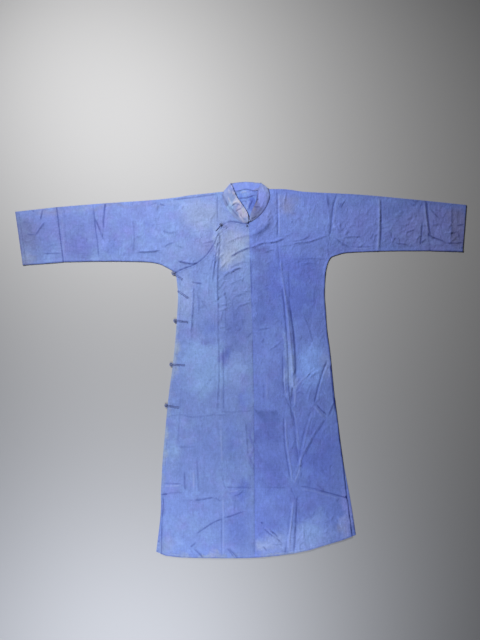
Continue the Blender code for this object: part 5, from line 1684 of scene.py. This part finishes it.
def tube(points, radius, closed=False, sides=frogs["sides"]):
    # points and faces of a round cord along a path; radius may change along it
    path = np.asarray(points, float)
    radii = np.broadcast_to(np.asarray(radius, float), (len(path),))
    if closed:
        along = np.roll(path, -1, axis=0) - np.roll(path, 1, axis=0)
    else:
        along = np.gradient(path, axis=0)
    along /= np.linalg.norm(along, axis=1)[:, None]
    side = np.cross(along[0], (0.0, 0.0, 1.0))
    if np.linalg.norm(side) < 0.1:
        side = np.cross(along[0], (1.0, 0.0, 0.0))
    made = []
    for p, way, r in zip(path, along, radii):
        side = side - way * (side @ way)
        side /= np.linalg.norm(side)
        up = np.cross(way, side)
        for k in range(sides):
            angle = 2 * math.pi * k / sides
            made.append(p + (side * math.cos(angle) + up * math.sin(angle)) * r)
    faces = []
    count = len(path)
    for i in range(count if closed else count - 1):
        here, following = i * sides, (i + 1) % count * sides
        for k in range(sides):
            beside = (k + 1) % sides
            faces.append((here + k, here + beside, following + beside, following + k))
    if not closed:
        faces.append(tuple(range(sides))[::-1])
        faces.append(tuple(range((count - 1) * sides, count * sides)))
    return made, faces


def cordPiece(name, node, points, faces, look):
    dress(addPiece(name, points, faces), node, look)


def ballPiece(node, place, size, bottom):
    radius = size * plait["cord"]
    turns = np.linspace(0, 2 * math.pi, plait["points"], endpoint=False)
    latitude = plait["latitude"] * np.cos(plait["bights"] * turns)
    longitude = plait["leads"] * turns
    far = size / 2 - radius * plait["inset"] + radius * plait["weave"] * np.sin(2 * plait["bights"] * turns)
    path = np.column_stack([
        far * np.cos(latitude) * np.cos(longitude), far * np.cos(latitude) * np.sin(longitude),
        far * np.sin(latitude)]) + (*place, bottom + size / 2)
    cordPiece(node + "_knot", node, *tube(path, radius, closed=True, sides=plait["sides"]), "cord")


def laidCord(node, route, look, highest=math.inf, swing=0.0):
    # a cord that lies on the front along its route
    radius = frogs["drawn"] / 2
    fine = smoothRun(route, frogs["step"])
    z = np.minimum(frontTops(fine), highest) + radius * frogs["sunk"]
    for _ in range(frogs["rounds"]):
        z[1:-1] = (z[:-2] + z[1:-1] * 2 + z[2:]) / 4
    waves = frogs["uneven"][1]
    thick = radius * (1 + swing * noiseOver(fine, waves, waves, 1.0))
    cordPiece(node + "_cord", node, *tube(np.column_stack([fine, z]), thick), look)


def loopPiece(node, ball, inner, look):
    # a cord doubled into a strip, which opens into a ring round the ball
    ball, inner = np.array(ball), np.array(inner)
    way = ball - inner
    out = way / math.dist(ball, inner)
    side = np.array([-out[1], out[0]])
    beside = side * frogs["spread"]
    opening = math.asin(frogs["spread"] / (frogs["ring"] / 2))
    shares = (0.0, 0.25, 0.5, 0.68)
    ring = [ball + (out * math.cos(angle) + side * math.sin(angle)) * frogs["ring"] / 2
            for angle in np.linspace(math.pi - opening, -math.pi + opening, 13)]
    going = [inner + way * t + beside for t in shares]
    coming = [inner + way * t - beside for t in shares[::-1]]
    laidCord(node, [*going, *ring, *coming], look, flapTop + frogs["most"], frogs["uneven"][0])


def doubledPiece(node, outer, inner, look):
    # a strip without a ring: a cord doubled back round its outer end
    outer, inner = np.array(outer), np.array(inner)
    reach = math.dist(outer, inner)
    way = (inner - outer) / reach * frogs["spread"]
    side = np.array([outer[1] - inner[1], inner[0] - outer[0]]) / reach * frogs["spread"]
    turn = [outer + side * math.cos(t) - way * math.sin(t) for t in np.linspace(0, math.pi, 7)]
    middle = (outer + inner) / 2
    laidCord(node, [inner + side, middle + side, *turn, middle - side, inner - side], look)


for button, loop, ball, inner, bottom, look in frogPlaces:
    ballPiece(button, ball, frogs["ball"], bottom)
    loopPiece(loop, ball, inner, look)
ballPiece("collar_button", (0.0240, 0.5770), frogs["collarBall"], flapTop + 1.2 * mm)

# the tails of the chest knot start at its ball, 8.6 mm from the middle
tailStart, tailEnd = np.array(chestBall), np.array([-0.1010, 0.5560])
tailStart = tailStart + (tailEnd - tailStart) / math.dist(tailEnd, tailStart) * 8.6 * mm
tailRoute = [tailStart, (tailStart * 2 + tailEnd) / 3, (tailStart + tailEnd * 2) / 3, tailEnd]
laidCord("chest_tail", tailRoute, "paleStrip")
doubledPiece("spare_loop", (-0.2490, 0.3150), (-0.2110, 0.2880), "strip")      # it has lost its knot
print("frogs ready")

# Sewing: running stitches, a little below the pile of the cloth
sewing = {
    "length": 3.4 * mm,
    "pitch": 6.4 * mm,
    "radius": 0.36 * mm,
    "bow": ((0.0, -0.25), (0.25, 0.18), (0.75, 0.2), (1.0, -0.25)),      # share of the length, height in mm
}


def stitchPiece(name, runs):
    # short bows of thread; a run is its line, how far left of it they are sewn, and the hems under them
    points, faces = [], []
    for line, offset, hems in runs:
        path = evenRun(line, 3 * mm)
        path = (path + sideways(path) * offset)[2:-2]
        heights = frontTops(path) + hemStep(path, hems)
        gone = goneAlong(path)
        for at in np.arange(sewing["pitch"] / 2, gone[-1] - sewing["length"], sewing["pitch"]):
            bow = []
            for t, lift in sewing["bow"]:
                station = at + t * sewing["length"]
                bow.append([np.interp(station, gone, path[:, 0]), np.interp(station, gone, path[:, 1]),
                            np.interp(station, gone, heights) + lift * mm])
            made, sides = tube(bow, sewing["radius"], sides=5)
            faces += [tuple(i + len(points) for i in face) for face in sides]
            points += made
    piece = addPiece(name, points, faces)
    piece.data.materials.append(materials["thread"])
    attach(piece, "root")
    return piece


leftHem = evenRun(partOf(hem, hemMiddle[0] + 4 * mm, hemCorners["frontLeft"] - 14 * mm), 10 * mm)
flapHem = evenRun(partOf(hem, hemCorners["flapRight"] + 12 * mm, hemMiddle[0] - 4 * mm), 10 * mm)
stitches = {
    "left": stitchPiece("left_panel_stitches", [
        (leftHem, 13 * mm, ["hem"]),
        (leftSide[leftSide[:, 1] < leftVentTop], -11 * mm, ["left vent"])]),
    "flap": stitchPiece("front_flap_stitches", [
        (flapHem, 13 * mm, ["hem"]),
        (rightSide, 11 * mm, ["right vent"]),
        (smoothRun(flapEdge, 10 * mm), 8 * mm, ["flap edge"])]),
    "rightEnd": stitchPiece("right_sleeve_end_stitches", [(cuffs["right"], 14 * mm, ["right cuff"])]),
    "leftEnd": stitchPiece("left_sleeve_end_stitches", [(cuffs["left"], -14 * mm, ["left cuff"])]),
}
print("stitches ready")

# Floor and light
stage = {
    "floor": "#aaabaf",
    "size": 9.0,
    "below": 0.3 * mm,
    "air": (0.93, 0.95, 1.0, 1.0),
    "airStrength": 0.035,
}
lights = [                         # name, place, aim, size, spread in degrees, power, colour
    ("key from the upper left", (-1.35, 1.80, 1.95), (-0.21, 0.80, 0.0), 0.60, 69, 16.0, "#fffdf8"),
    ("fill from the lower left", (-0.31, -1.20, 1.40), (-0.76, -1.32, 0.0), 0.80, 143, 23.0, "#f6f9ff"),
]
far = stage["size"] / 2
floorMesh = bpy.data.meshes.new("floor")
floorMesh.from_pydata([(-far, -far, 0), (far, -far, 0), (far, far, 0), (-far, far, 0)], [], [(0, 1, 2, 3)])
floor = bpy.data.objects.new("floor", floorMesh)
floor.location.z = -stage["below"]
bpy.context.scene.collection.objects.link(floor)
floorMesh.materials.append(
    newMaterial("plain paper", {"Base Color": hexColour(stage["floor"]), "Roughness": 0.9})[0])
for name, spot, aim, size, spread, power, tint in lights:
    lampData = bpy.data.lights.new(name, "AREA")
    lampData.shape = "SQUARE"
    lampData.size = size
    lampData.spread = math.radians(spread)
    lampData.energy = power
    lampData.color = hexColour(tint)[:3]
    lamp = bpy.data.objects.new(name, lampData)
    lamp.location = spot
    lamp.rotation_mode = "QUATERNION"
    lamp.rotation_quaternion = (Vector(aim) - Vector(spot)).to_track_quat("-Z", "Y")
    bpy.context.scene.collection.objects.link(lamp)
world = bpy.data.worlds.new("room")
bpy.context.scene.world = world
world.use_nodes = True
air = world.node_tree.nodes["Background"]
air.inputs["Color"].default_value = stage["air"]
air.inputs["Strength"].default_value = stage["airStrength"]

print("scene ready")
